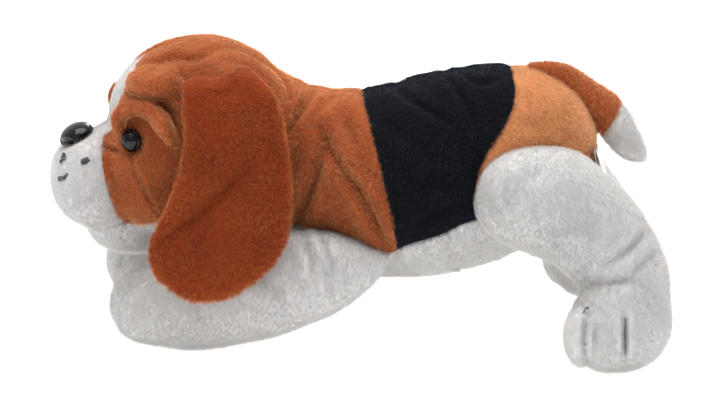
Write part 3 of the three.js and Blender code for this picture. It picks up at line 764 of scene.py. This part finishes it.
MUZZLE_SEAM = [(-78, 30), (-79.3, 69), (-82, 73), (-84.5, 78.5), (-87, 87), (-89.2, 96), (-90, 105)]
MUZZLE_SEAM += [(-89.3, 112.5), (-86.8, 117.5), (-84, 121), (-87, 124), (-105, 128)]
JOWL_SEAM = [(62, -140), (62, -104), (63, -98), (66, -88), (69, -79), (69, -71), (71, -63)]
JOWL_SEAM += [(77, -35), (77, 30)]
BLAZE_Z = [110, 121, 135, 146, 151, 156, 160]
BLAZE_HALF = [13, 11.5, 13, 13, 9.5, 2, -1]  # the stripe's half-width at each BLAZE_Z


def behind_muzzle(p):
    u, _ = in_head(p[:, 0], p[:, 1])
    return beside(u, p[:, 2], MUZZLE_SEAM)


def above_jowl(p):
    u, _ = in_head(p[:, 0], p[:, 1])
    return beside(p[:, 2], u, JOWL_SEAM)


def beside_blaze(p):
    """Positive outside the white stripe that narrows up the forehead."""
    u, v = in_head(p[:, 0], p[:, 1])
    half = np.interp(p[:, 2], BLAZE_Z, BLAZE_HALF)
    return np.abs(v) - np.where(u < -42, half, -1)


TORSO_FOLDS = [  # each a line of (x, z) points, its depth and its width
    ([(-20, 121), (-9, 104), (4, 87), (14, 67), (21, 52)], 4.6, 3.0),
    ([(-16, 114), (-20, 98), (-27, 80), (-33, 60)], 4.0, 3.0),
    ([(-37, 118), (-30, 128), (-19, 142)], 3.4, 2.4),
    ([(-30, 116), (-22, 127), (-8, 138)], 1.6, 2.4),
    ([(-10, 132), (-1, 118), (6, 96)], 1.5, 3.4),
    ([(16, 145), (30, 136), (52, 125)], 2.3, 2.2),
    ([(12, 128), (28, 118), (47, 106)], 1.2, 4.0),
    ([(42, 152), (54, 143), (62, 131), (65, 121)], 2.0, 2.1),
    ([(24, 92), (40, 98), (56, 92)], 1.0, 4.5),
    ([(30, 62), (42, 78), (60, 84)], 1.2, 4.0),
    ([(82, 128), (96, 124), (112, 128)], 0.8, 3.6),
    ([(34, 145), (50, 150), (66, 149)], 1.5, 1.6),
    ([(54, 149), (66, 144), (78, 145)], 1.4, 1.6),
]
FACE_FOLDS = [  # the same, with (u, z) points
    ([(-90, 111), (-85, 110.5), (-78, 111)], 2.6, 1.3),
    ([(-75, 110), (-72, 100), (-68, 90), (-61, 77)], 1.5, 1.2),
    ([(-86.5, 106), (-85, 97), (-80, 86)], 1.0, 1.8),
    ([(-70, 151), (-57, 156.5), (-50, 158.5), (-38, 158), (-27, 162), (-14, 161.5)], 1.7, 1.5),
    ([(-19, 162), (-8, 158), (2, 151), (9, 143), (11, 134)], 1.7, 1.5),
    ([(-52, 157), (-47, 151), (-43, 144)], 1.4, 1.7),
    ([(-80, 139.5), (-69, 141), (-59, 138.5), (-48, 133)], 1.9, 1.4),
    ([(-60, 137), (-54, 133), (-50, 123)], 3.4, 2.8),
]


def fore_relief(points):
    x, y, z = points.T
    u, v = in_head(x, y)
    on_head = step_up(neck_side("head")(points), -2, 6)
    on_torso = 1 - on_head
    relief = lumps(points)
    torso_side = step_up(np.abs(y), 4, 16) * on_torso
    drift = 3 * (y > 0)  # the two sides aren't exact mirrors
    relief += torso_side * folds(x + drift, z, TORSO_FOLDS)
    face_side = step_up(np.abs(v), 5, 12) * on_head
    relief += face_side * folds(u, z, FACE_FOLDS)
    for distance in (saddle_front(points), saddle_rear(points)):
        relief += on_torso * seam(distance) * step_up(above_belly(points), -2, 2)
    relief += on_torso * seam(above_belly(points))
    muzzle, jowl, blaze = behind_muzzle(points), above_jowl(points), beside_blaze(points)
    beyond_blaze = step_up(blaze, -2, 1)
    relief += on_head * seam(muzzle, 1.1, 1.5) * step_up(jowl, -2, 1) * beyond_blaze
    ahead_of_nape = step_up(18 - u, 0, 8)
    relief += on_head * seam(jowl, 0.9, 1.5) * step_up(muzzle, -2, 1) * ahead_of_nape
    stripe = step_up(z, 116, 124) * step_up(-muzzle, -30, -2) * on_head
    forehead = step_up(-u, 40, 56)
    relief += on_head * step_up(z, 124, 131) * seam(blaze, 1.3, 2.0) * forehead
    return relief - 0.3 * stripe * step_up(-blaze, 0, 4)


def add_fore_skins():
    """The torso's, the neck's and the head's panels."""
    mesh = surface(fore_form, (-180, -62, 24), (146, 62, 174))
    mesh = pressed(mesh, fore_relief)
    sides = [neck_side(place) for place in NECK_PLACES]
    sides += [saddle_front, saddle_rear, above_belly, pocket_mouth]
    sides += [behind_muzzle, above_jowl, beside_blaze]
    for side in sides:
        mesh = cut(mesh, side)
    on_neck, on_upper_neck, on_head = sides[:3]
    on_torso = opposite(on_neck)
    ahead_of_saddle, ahead_of_rump = opposite(saddle_front), opposite(saddle_rear)
    seams = {
        "shoulder_skin": [on_torso, ahead_of_saddle, above_belly],
        "saddle_skin": [on_torso, saddle_front, ahead_of_rump, above_belly],
        "rump_skin": [saddle_rear, above_belly],
        "belly_skin": [on_torso, opposite(above_belly), pocket_mouth],
        "neck_skin_lower": [on_neck, opposite(on_upper_neck)],
        "neck_skin_upper": [on_upper_neck, opposite(on_head)],
        "head_skin": [on_head, behind_muzzle, above_jowl, beside_blaze],
        "blaze_skin": [on_head, behind_muzzle, above_jowl, opposite(beside_blaze)],
        "muzzle_skin": [on_head, opposite(behind_muzzle), above_jowl],
        "chin_skin": [on_head, opposite(above_jowl)],
    }
    pieces = add_panels(mesh, seams)
    for name, bodies, (start, end) in (
        ("neck_skin_lower", ("torso", "neck"), ("torso", "middle")),
        ("neck_skin_upper", ("neck", "head"), ("middle", "head")),
    ):
        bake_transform(pieces[name])


# ---- Legs ----

FRONT_LEG = [(13, -40, 49, 5), (4, -41, 46.5, 11), (-8, -42, 44.5, 17.5), (-24, -43, 41, 23.5)]
FRONT_LEG += [(-45, -44, 36.5, 26.5), (-66, -45, 32, 27), (-84, -46, 28.5, 26)]
FRONT_LEG += [(-100, -46, 26.5, 23.5), (-112, -46, 25.5, 20.5)]
HIND_LEG = [(109, -51, 83, 27), (127.5, -56, 70.5, 26), (144, -66, 50, 22.5), (145, -73, 29, 22)]
TOES = [(119.5, 8.5, 21), (132, 12, 18), (150, 13, 21)]  # each one's x, half-width and height
RIGHT_HIND_STEP = (-7, 3, 15)  # back at the hip, back at the foot, and in at the foot
STEP_TOP = 95  # the height above which a right leg's step is all its hip's
FLOOR_GAP = 0.4  # left under the legs for their pile


def front_leg_form(x, y, z):
    return limb(x, y, z, FRONT_LEG)


def hind_leg_form(x, y, z):
    thigh = ball(x, y, z, (99, -50, 86), (33, 27, 26.5))
    thigh = join(thigh, ball(x, y, z, (85, -44, 91), (17.5, 22, 17)), 6)
    leg = join(thigh, limb(x, y, z, HIND_LEG), 9)
    foot = ball(x, y, z, (139, -80, 22), (26, 24, 21.5))
    leg = join(leg, foot, 10)
    for toe_x, half, toe_z in TOES:
        toe = ball(x, y, z, (toe_x, -90, toe_z), (half, 13.5, 16 - 0.1 * half))
        leg = join(leg, toe, 2.2)
    return leg


FRONT_FOLDS = [  # each a line of (x, z) points, its depth and its width
    ([(-112, 44), (-125, 36), (-129.5, 25), (-129, 12)], 1.0, 1.6),
    ([(-58, 52), (-44, 42), (-36, 26)], 1.1, 4.0),
    ([(-24, 60), (-14, 46), (-10, 30)], 1.3, 3.6),
    ([(-90, 40), (-84, 28), (-86, 14)], 0.8, 4.0),
    ([(-30, 67), (-24, 56), (-22, 46)], 1.3, 2.0),
    ([(-21, 67), (-14, 57), (-11, 48)], 1.1, 1.8),
]
HIND_FOLDS = [
    ([(133, 59), (144, 66), (155, 75)], 1.4, 2.8),
    ([(141, 53), (149, 58), (158, 62)], 1.1, 2.6),
    ([(122, 47), (136, 50), (152, 52)], 1.3, 2.8),
    ([(66, 96), (75, 80), (86, 66)], 1.2, 3.4),
    ([(104, 110), (88, 99), (77, 84)], 1.2, 4.0),
    ([(96, 66), (108, 76), (124, 78)], 0.9, 4.0),
]
TOE_LINES = [
    ([(141, 36), (141, 24), (141.5, 10)], 2.4, 1.6),
    ([(122, 34), (119.5, 24), (121, 9)], 2.6, 1.6),
]


def front_relief(points):
    return lumps(points, 20, 0.5) + folds(points[:, 0], points[:, 2], FRONT_FOLDS)


def hind_relief(points):
    x, y, z = points.T
    toes = step_up(-y, 82, 92)
    return lumps(points, 20, 0.5) + folds(x, z, HIND_FOLDS) + toes * folds(x, z, TOE_LINES)


def floored(mesh):
    """The mesh, with nothing below the floor."""
    points, triangles = mesh
    return np.column_stack([points[:, :2], np.maximum(points[:, 2], FLOOR_GAP)]), triangles


def right_step(z, hip, foot, inward):
    """How far (back, to the right) a right leg lies from its twin's mirror image, at height z."""
    share = 1 - step_up(z, 0, STEP_TOP)
    return hip + share * (foot - hip), -inward * share


def stepped_in(mesh, step):
    """A right leg whose hip, foot or both are set away from its twin's mirror image."""
    points, triangles = mesh
    back, right = right_step(points[:, 2], *step)
    return points + np.column_stack([back, right, np.zeros(len(points))]), triangles


def add_leg(name, form, low, high, relief, right_shift, lean, step=(0.0, 0.0, 0.0)):
    """A left leg, and a right leg that mirrors it but for its shift and its step."""
    mesh = surface(flattened(form), low, high)
    mesh = floored(pressed(mesh, relief))
    right = stepped_in(mirrored(mesh, right_shift), step)
    for side, body_mesh in (("left", mesh), ("right", right)):
        body = f"{name}_{side}"
        normals = normals_of(*body_mesh)
        piece = add_plush(f"{body}_plush", body_mesh, normals, body, "white_plush", lean)
        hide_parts(f"{body}_skin", f"{body}_filling")


def add_legs():
    front = ((-144, -80, -3), (34, -10, 76))
    hind = ((60, -116, -3), (178, -16, 122))
    ahead, back = (-0.9, 0, -0.3), (0.4, 0, -0.85)
    add_leg("front_leg", front_leg_form, *front, front_relief, RIGHT_FRONT_REACH, ahead)
    add_leg("hind_leg", hind_leg_form, *hind, hind_relief, 0.0, back, RIGHT_HIND_STEP)


# ---- Ears ----

EAR_OUTLINE = [
    (-47.5, 149.5), (-47.5, 139), (-47.3, 122), (-49, 113), (-51.5, 103.5), (-55, 95), (-61, 82),
    (-67.3, 70), (-68.2, 60.5), (-65.2, 51.5), (-55.5, 43), (-44, 38.5), (-29.5, 39.5), (-15, 46.5),
    (-3, 56.5), (4.4, 68), (7.4, 86), (7.6, 105), (5.2, 124), (1.8, 141), (-5.5, 151), (-14, 156),
    (-23.5, 152.5), (-31, 151.3), (-40, 152),
]
EAR_HANG = [(34, 156), (44, 152), (52, 144), (57, 132), (62, 112), (69, 84), (75, 58)]
EAR_HANG += [(78.5, 40), (80, 28)]  # how far out the ear's middle lies, at each height
EAR_HALF = 3.1  # of its thickness
EAR_ROOT = (41, 152)
RIGHT_EAR_LIFT = math.radians(9)  # it rests on the right front leg


def rim_distance(u, z, outline):
    """The distance from each (u, z) to a closed outline, positive inside it."""
    loop = flowing([*outline, outline[0]], 4)
    u, z = np.broadcast_arrays(u, z)
    best = np.full(u.shape, np.inf)
    inside = np.zeros(u.shape, bool)
    for (au, az), (bu, bz) in zip(loop, loop[1:]):
        su, sz = bu - au, bz - az
        t = np.clip(((u - au) * su + (z - az) * sz) / (su * su + sz * sz + 1e-9), 0, 1)
        best = np.minimum(best, np.hypot(u - au - t * su, z - az - t * sz))
        if az != bz:
            inside ^= ((az > z) != (bz > z)) & (u < su * (z - az) / sz + au)
    return np.where(inside, best, -best)


def ear_sheet(u, z):
    """How far out the middle of the left ear lies: it hangs over the cheek, a little cupped."""
    row = flowing(EAR_HANG)[::-1]
    hang = np.interp(z, row[:, 1], row[:, 0])
    cup = 0.0016 * (u + 26) ** 2
    return hang - cup


def ear_form(u, v, z):
    """The left ear in the head's own directions, with v out to the left."""
    rim = rim_distance(u, z, EAR_OUTLINE)
    half = EAR_HALF * np.sqrt(np.clip(1 - (1 - np.clip(rim / 7, 0, 1)) ** 2, 0, 1)) + 0.4
    return np.maximum((np.abs(v - ear_sheet(u, z)) - half) * 0.9, -rim)


EAR_FOLDS = [
    ([(-71, 69), (-58, 74), (-47, 80), (-33, 90), (-19, 103)], 2.1, 4.6),
    ([(-52, 76), (-38, 86), (-20, 101), (-10, 116)], 2.2, 8.0),
    ([(-4, 134), (-1, 114), (0, 90)], 1.8, 7.0),
    ([(-38, 146), (-27, 144), (-17, 149)], 1.2, 2.4),
]


def add_ears():
    points, triangles = surface(ear_form, (-78, 22, 24), (16, 92, 164), 1.2)
    u, _, z = points.T
    raised = lumps(points, 26, 0.6) + folds(u, z, EAR_FOLDS)
    bend = step_up(rim_distance(u, z, EAR_OUTLINE), 0, 6)
    points = points + np.outer(raised * bend, (0, 1, 0))
    mesh = cut((points, triangles), outside_ear)
    normals = normals_of(*mesh)
    for side, sign in (("left", -1), ("right", 1)):
        lift = 0.0 if sign < 0 else RIGHT_EAR_LIFT
        for layer, layer_side in (("outer", outside_ear), ("lining", opposite(outside_ear))):
            patch, faces, used = kept(mesh, layer_side)
            set_on = in_place(patch, sign, lift)
            way = in_place(patch + normals[used], sign, lift) - set_on
            faces = faces[:, ::-1] if sign < 0 else faces  # the left side is -y
            body = f"ear_{side}"
            name = f"{body}_{layer}"
            piece = add_plush(name + "_skin", (set_on, faces), way, None, "ear_plush", (0.1, 0, -1))
            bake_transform(piece)
            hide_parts(name)


def outside_ear(p):
    return p[:, 1] - ear_sheet(p[:, 0], p[:, 2]) + 0.3


def in_place(points, sign, lift):
    """Points of the left ear's drawing, swung out by lift and set on one side of the head."""
    root_v, root_z = EAR_ROOT
    v, z = points[:, 1] - root_v, points[:, 2] - root_z
    swung = v * math.cos(lift) - z * math.sin(lift)
    raised = v * math.sin(lift) + z * math.cos(lift)
    x, y = from_head(points[:, 0], sign * (root_v + swung))
    return np.column_stack([x, y, root_z + raised])


# ---- Tail and label ----

TAIL = [(99, 0, 147, 4.5), (111, 0, 145.5, 6.2), (122, 0, 139, 7.6), (131, 0, 131.5, 8.6)]
TAIL += [(138.5, 0, 125, 9.8), (145, 0, 116.5, 9.9), (153, 0, 105, 7.2), (160, 0, 98.5, 3.2)]


def tail_form(x, y, z):
    return limb(x, y / 1.12, z, TAIL)


def past_tail_seam(p):
    """Positive on the white tip of the tail."""
    return (p[:, 0] - 143.5) * 0.866 - (p[:, 2] - 122) * 0.5


def add_tail():
    mesh = surface(tail_form, (90, -16, 90), (168, 16, 156), 1.1)
    mesh = pressed(mesh, lambda p: lumps(p, 16, 0.4) + seam(past_tail_seam(p), 0.9, 1.4))
    mesh = cut(mesh, past_tail_seam)
    seams = {"tail_base_skin": [opposite(past_tail_seam)], "tail_tip_skin": [past_tail_seam]}
    add_panels(mesh, seams)


LABEL = {  # metres
    "top": (0.1335, 0.106),  # x and z
    "fold": (0.0115, 0.024),  # how far behind and below the top its fold lies
    "opening": 0.0007,  # each half stands this far out at the top
    "bulge": 0.0016,
    "turn": 0.12,  # back for each metre to the right
}


def add_label():
    """A ribbon folded in two and sewn to the rump below the tail."""
    low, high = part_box("sewn_label")
    width, drop = high.y - low.y, high.z - low.z
    path = []
    for i in range(33):  # down the outside, round the fold and up the inside
        share = i / 32
        down = 1 - abs(2 * share - 1)
        side = (share - 0.5) * 2
        bulge = LABEL["bulge"] * math.sin(math.pi * down) * side
        x = LABEL["top"][0] + LABEL["fold"][0] * down + LABEL["opening"] * side + bulge
        z = LABEL["top"][1] - LABEL["fold"][1] * math.sin(0.5 * math.pi * down) ** 0.9
        path.append((x, z))
    grid = [
        [(x + LABEL["turn"] * width * j / 12, low.y + width * j / 12, z) for j in range(12, -1, -1)]
        for x, z in path
    ]
    label = add_sheet("ribbon_label", np.array(grid), ribbon(), 0.0003)
    fitted(label, "torso", "label_ribbon", "sewn_label")


# ---- Face ----

EYE = {"u": -75, "v": 34.5, "z": 116.7, "radius": 6.4, "bulge": 4.0}
GAZE = (-0.643, 0.766, 0.02)
NOSE = (-102.5, 113.6)  # the nose's middle, as (u, z)
NOSTRIL = [(-9.5, 3.6, 1.4, 1.3), (-8.2, 6.8, 1.6, 1.9), (-4.6, 9.6, 1.2, 1.4)]
NOSTRIL += [(-1.5, 11.2, -0.6, 0.8)]


def lathe(profile, segments, centre, axis, name, *materials):
    """A body turned about an axis, from (radius, height) points that start and end on it."""
    axis = Vector(axis).normalized()
    first = axis.orthogonal().normalized()
    second = axis.cross(first)
    rows = []
    for radius, height in profile[1:-1]:
        for k in range(segments):
            angle = 2 * math.pi * k / segments
            out = first * math.cos(angle) + second * math.sin(angle)
            rows.append(centre + axis * height + out * radius)
    count = len(profile) - 2
    rows += [centre + axis * profile[0][1], centre + axis * profile[-1][1]]
    low, high = count * segments, count * segments + 1
    faces = []
    for k in range(segments):
        after = (k + 1) % segments
        faces.append((low, after, k))
        last = (count - 1) * segments
        faces.append((last + k, last + after, high))
        for i in range(count - 1):
            a, b = i * segments + k, i * segments + after
            faces += [(a, b, b + segments), (a, b + segments, a + segments)]
    return add_object(name, np.array(rows), np.array(faces), *materials)


def add_eyes(finish):
    radius, bulge = EYE["radius"], EYE["bulge"]
    rim = [(radius * 0.6, -2.2), (radius - 0.2, -1.6), (radius, -0.4), (radius - 0.25, 0.35)]
    dome = []
    for i in range(13):
        angle = math.radians(6 + 84 * i / 12)
        dome.append(((radius - 0.75) * math.cos(angle), 0.1 + bulge * math.sin(angle)))
    profile = [(0, -2.2), *rim, *dome, (0, 0.1 + bulge)]
    for side, sign in (("left", -1), ("right", 1)):
        x, y = from_head(EYE["u"], sign * EYE["v"])
        gaze_x, gaze_y = from_head(GAZE[0], sign * GAZE[1])
        axis = (gaze_x - NECK_X, gaze_y, GAZE[2])
        centre = Vector((x, y, EYE["z"]))
        eye = lathe(profile, 40, centre, axis, f"eye_{side}_dome", finish)
        fitted(eye, "head", "gloss_black", f"eye_{side}")


def nose_form(u, v, z):
    """A broad moulded nose with two comma-shaped nostrils."""
    behind, above = u - NOSE[0], z - NOSE[1]
    tip = behind * 0.9 + above * 0.43  # back along the bridge
    rise = above * 0.9 - behind * 0.43
    form = ball(tip, v, rise, (0, 0, 0), (10, 12.5, 6.8))
    form = without(form, limb(tip, np.abs(v), rise, NOSTRIL, 3), 1.2)
    groove = limb(tip, v + 0 * tip, rise, [(-11, 0, 0.5, 0.7), (-10, 0, -4, 0.9)], 2)
    return without(form, groove, 1.2)


def add_nose(finish):
    points, triangles = surface(nose_form, (-118, -16, 100), (-88, 16, 126), 0.5)
    x, y = from_head(points[:, 0], points[:, 1])
    nose = add_object("nose_moulding", np.column_stack([x, y, points[:, 2]]), triangles, finish)
    fitted(nose, "head", "gloss_black", "nose")


def settle_on(form, start, way, reach=60.0):
    """Where a line from start along way first meets a form."""
    point = np.array(start, float)
    way = np.array(way, float)
    gone = 0.0
    while gone < reach:
        distance = float(form(*[np.array([c]) for c in point])[0])
        if distance < 0.02:
            break
        step = max(distance * 0.8, 0.02)
        point, gone = point + way * step, gone + step
    return point


def add_stitch(name, line, width, start_at, way, form, body, material):
    """Satin stitch: a low ridge along a line that is laid on a form."""
    row = [settle_on(form, start_at(*point), way) for point in flowing(line, 4)]
    curve = bpy.data.curves.new(name, "CURVE")
    curve.dimensions = "3D"
    curve.bevel_depth = 1.0 * MM
    curve.bevel_resolution = 3
    curve.use_fill_caps = True
    spline = curve.splines.new("POLY")
    spline.points.add(len(row) - 1)
    for i, (point, place) in enumerate(zip(spline.points, row)):
        share = i / (len(row) - 1)
        point.co = (*((Vector(place) + Vector((SHIFT, 0, 0))) * MM), 1)
        point.radius = np.interp(share, [0, 0.5, 1], width)
    curve.materials.append(material)
    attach(placed(name, curve), body)


MUZZLE_SPOTS = {  # each a line of (u, v, z) points and its half-width along the line
    "upper": ([(-110.4, -16, 107.2), (-110.5, -16, 105), (-110.3, -16, 102.3)], (0.7, 1.6, 2.4)),
    "rear": ([(-101.2, -26, 104.2), (-99.3, -26, 104.4), (-97.2, -26, 105.8)], (1.5, 2.0, 1.4)),
    "lower": ([(-112, -16, 92.9), (-109.6, -16, 93), (-107.3, -16, 95.8)], (1.6, 1.3, 0.7)),
}
SIGHT = (0.152, 0.96, -0.233)  # from beside the muzzle, inwards and a little down
TOE_STITCHES = {  # each a line of (x, z) points and its half-width along the line
    "long": ([(141, 33.5), (141, 24), (141.5, 14)], (0.42, 0.42, 0.42)),
    "short": ([(123, 36.4), (121, 35.8), (119.4, 34.6)], (0.7, 0.6, 0.45)),
}
CLEAR_OF_FACE, CLEAR_OF_PAWS = 60, 130  # where the lines that place the stitches start


def add_muzzle_spot(name, side, sign, material):
    """A spot beside the nose. The right ones lie a little further back."""

    def beside_face(u, v, z):
        u, v, z = (c - CLEAR_OF_FACE * way for c, way in zip((u, v, z), SIGHT))
        x, y = from_head(u + 3 * (sign < 0), sign * v)
        return (x, y, z)

    x, y = from_head(SIGHT[0], sign * SIGHT[1])
    toward = (x - NECK_X, y, SIGHT[2])
    spot = f"muzzle_spot_{name}_{side}"
    add_stitch(spot, *MUZZLE_SPOTS[name], beside_face, toward, head_form, "head", material)


def add_toe_stitch(name, side, sign, material):
    """A thread between two toes of a hind paw."""

    def way_off(z):
        return right_step(z, *RIGHT_HIND_STEP) if sign > 0 else (0, 0)

    def beside_paw(x, z):
        return (x + way_off(z)[0], sign * CLEAR_OF_PAWS, z)

    def foot(x, y, z):
        back, right = way_off(z)
        return hind_leg_form(x - back, -np.abs(y - right), z)

    stitch, body = f"toe_stitch_{name}_{side}", f"hind_leg_{side}"
    add_stitch(stitch, *TOE_STITCHES[name], beside_paw, (0, -sign, 0), foot, body, material)


def add_stitches():
    dark = thread("spot_thread", linear(34, 35, 48))
    for name in MUZZLE_SPOTS:
        add_muzzle_spot(name, "left", 1, dark)
        add_muzzle_spot(name, "right", -1, dark)
    toe = thread("toe_thread", linear(45, 43, 60))
    for name in TOE_STITCHES:
        add_toe_stitch(name, "left", -1, toe)
        add_toe_stitch(name, "right", 1, toe)


# ---- Pocket under the belly ----

SLIT = (0.038, 0.031)


def add_frame_of_cloth(name, low, high, material, bow=0.0, slit=None):
    """A rectangle of cloth, with a slit or none, whose edges and rear end rise by bow."""
    middle, size = (low + high) / 2, high - low
    x, y = np.meshgrid(
        np.linspace(low.x, high.x, 57), np.linspace(low.y, high.y, 43), indexing="ij"
    )
    across = (y - middle.y) / size.y * 2
    along = (x - middle.x) / size.x * 2
    z = middle.z + bow * (across**2 + 1.6 * np.maximum(along, 0) ** 2)

    def in_slit(x, y):
        return slit and abs(x - middle.x) < slit[0] / 2 and abs(y) < slit[1] / 2

    made = add_sheet(name, np.stack([x, y, z], axis=-1), material, size.z, 0, in_slit)
    round_edge = made.modifiers.new("edge", "BEVEL")
    round_edge.width, round_edge.segments = 0.0005, 3
    return made


def add_pocket():
    cloth = plush_of["white_plush"]
    low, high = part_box("pocket_flap")
    flap = add_frame_of_cloth("flap_cloth", low, high, cloth, bow=0.0022)
    fitted(flap, "flap", "white_plush", "pocket_flap")
    low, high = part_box("pocket_facing")
    facing = add_frame_of_cloth("facing_cloth", low, high, cloth, slit=SLIT)
    fitted(facing, "torso", "white_plush", "pocket_facing")


# ---- Hardware ----

DRAWN = (1, 1, 0.1)  # the grain of metal drawn out along z


def coat(thing, finish):
    thing.data.materials.clear()
    thing.data.materials.append(finish)


def add_spring():
    """The button's spring, kept at its CAD length on the torso; in the toy it shortens as the button is pressed.
    """
    spring = placed("spring_coil", frame["nodes"]["button_spring"].data.copy())
    wire = moulded("spring_wire", linear(190, 192, 197), 0.3, 1.0, 1500, DRAWN)
    coat(spring, wire)
    fitted(spring, "torso", "steel", "button_spring")
    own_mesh(spring)


def finish_hardware():
    """Materials for the pieces that keep their own shape."""
    finishes = {
        "case_plastic": moulded("case_plastic", linear(222, 223, 225), 0.42),
        "board": moulded("board", linear(28, 92, 50), 0.5, 0.0, 300),
        "speaker_frame": moulded("speaker_frame", linear(58, 60, 64), 0.55),
        "nylon": moulded("nylon", linear(226, 223, 212), 0.4),
        "fastening_tape": moulded("fastening_tape", linear(236, 236, 236), 0.85, 0.0, 2600),
        "stuffing": moulded("stuffing", linear(243, 242, 236), 0.95, 0.0, 160),
        "steel": moulded("steel", linear(196, 198, 202), 0.32, 1.0, 1500, DRAWN),
    }
    slots = {part["node"]: part["material_slot"] for part in frame["record"]["subparts"]}
    for node, thing in frame["nodes"].items():
        if thing.hide_render:
            continue
        finish = finishes.get(slots.get(node), finishes["case_plastic"])
        coat(thing, finish)


add_camera()
add_studio()
add_fore_skins()
add_legs()
add_ears()
add_tail()
add_label()
glossy = gloss()
add_eyes(glossy)
add_nose(glossy)
add_stitches()
add_pocket()
add_spring()
finish_hardware()
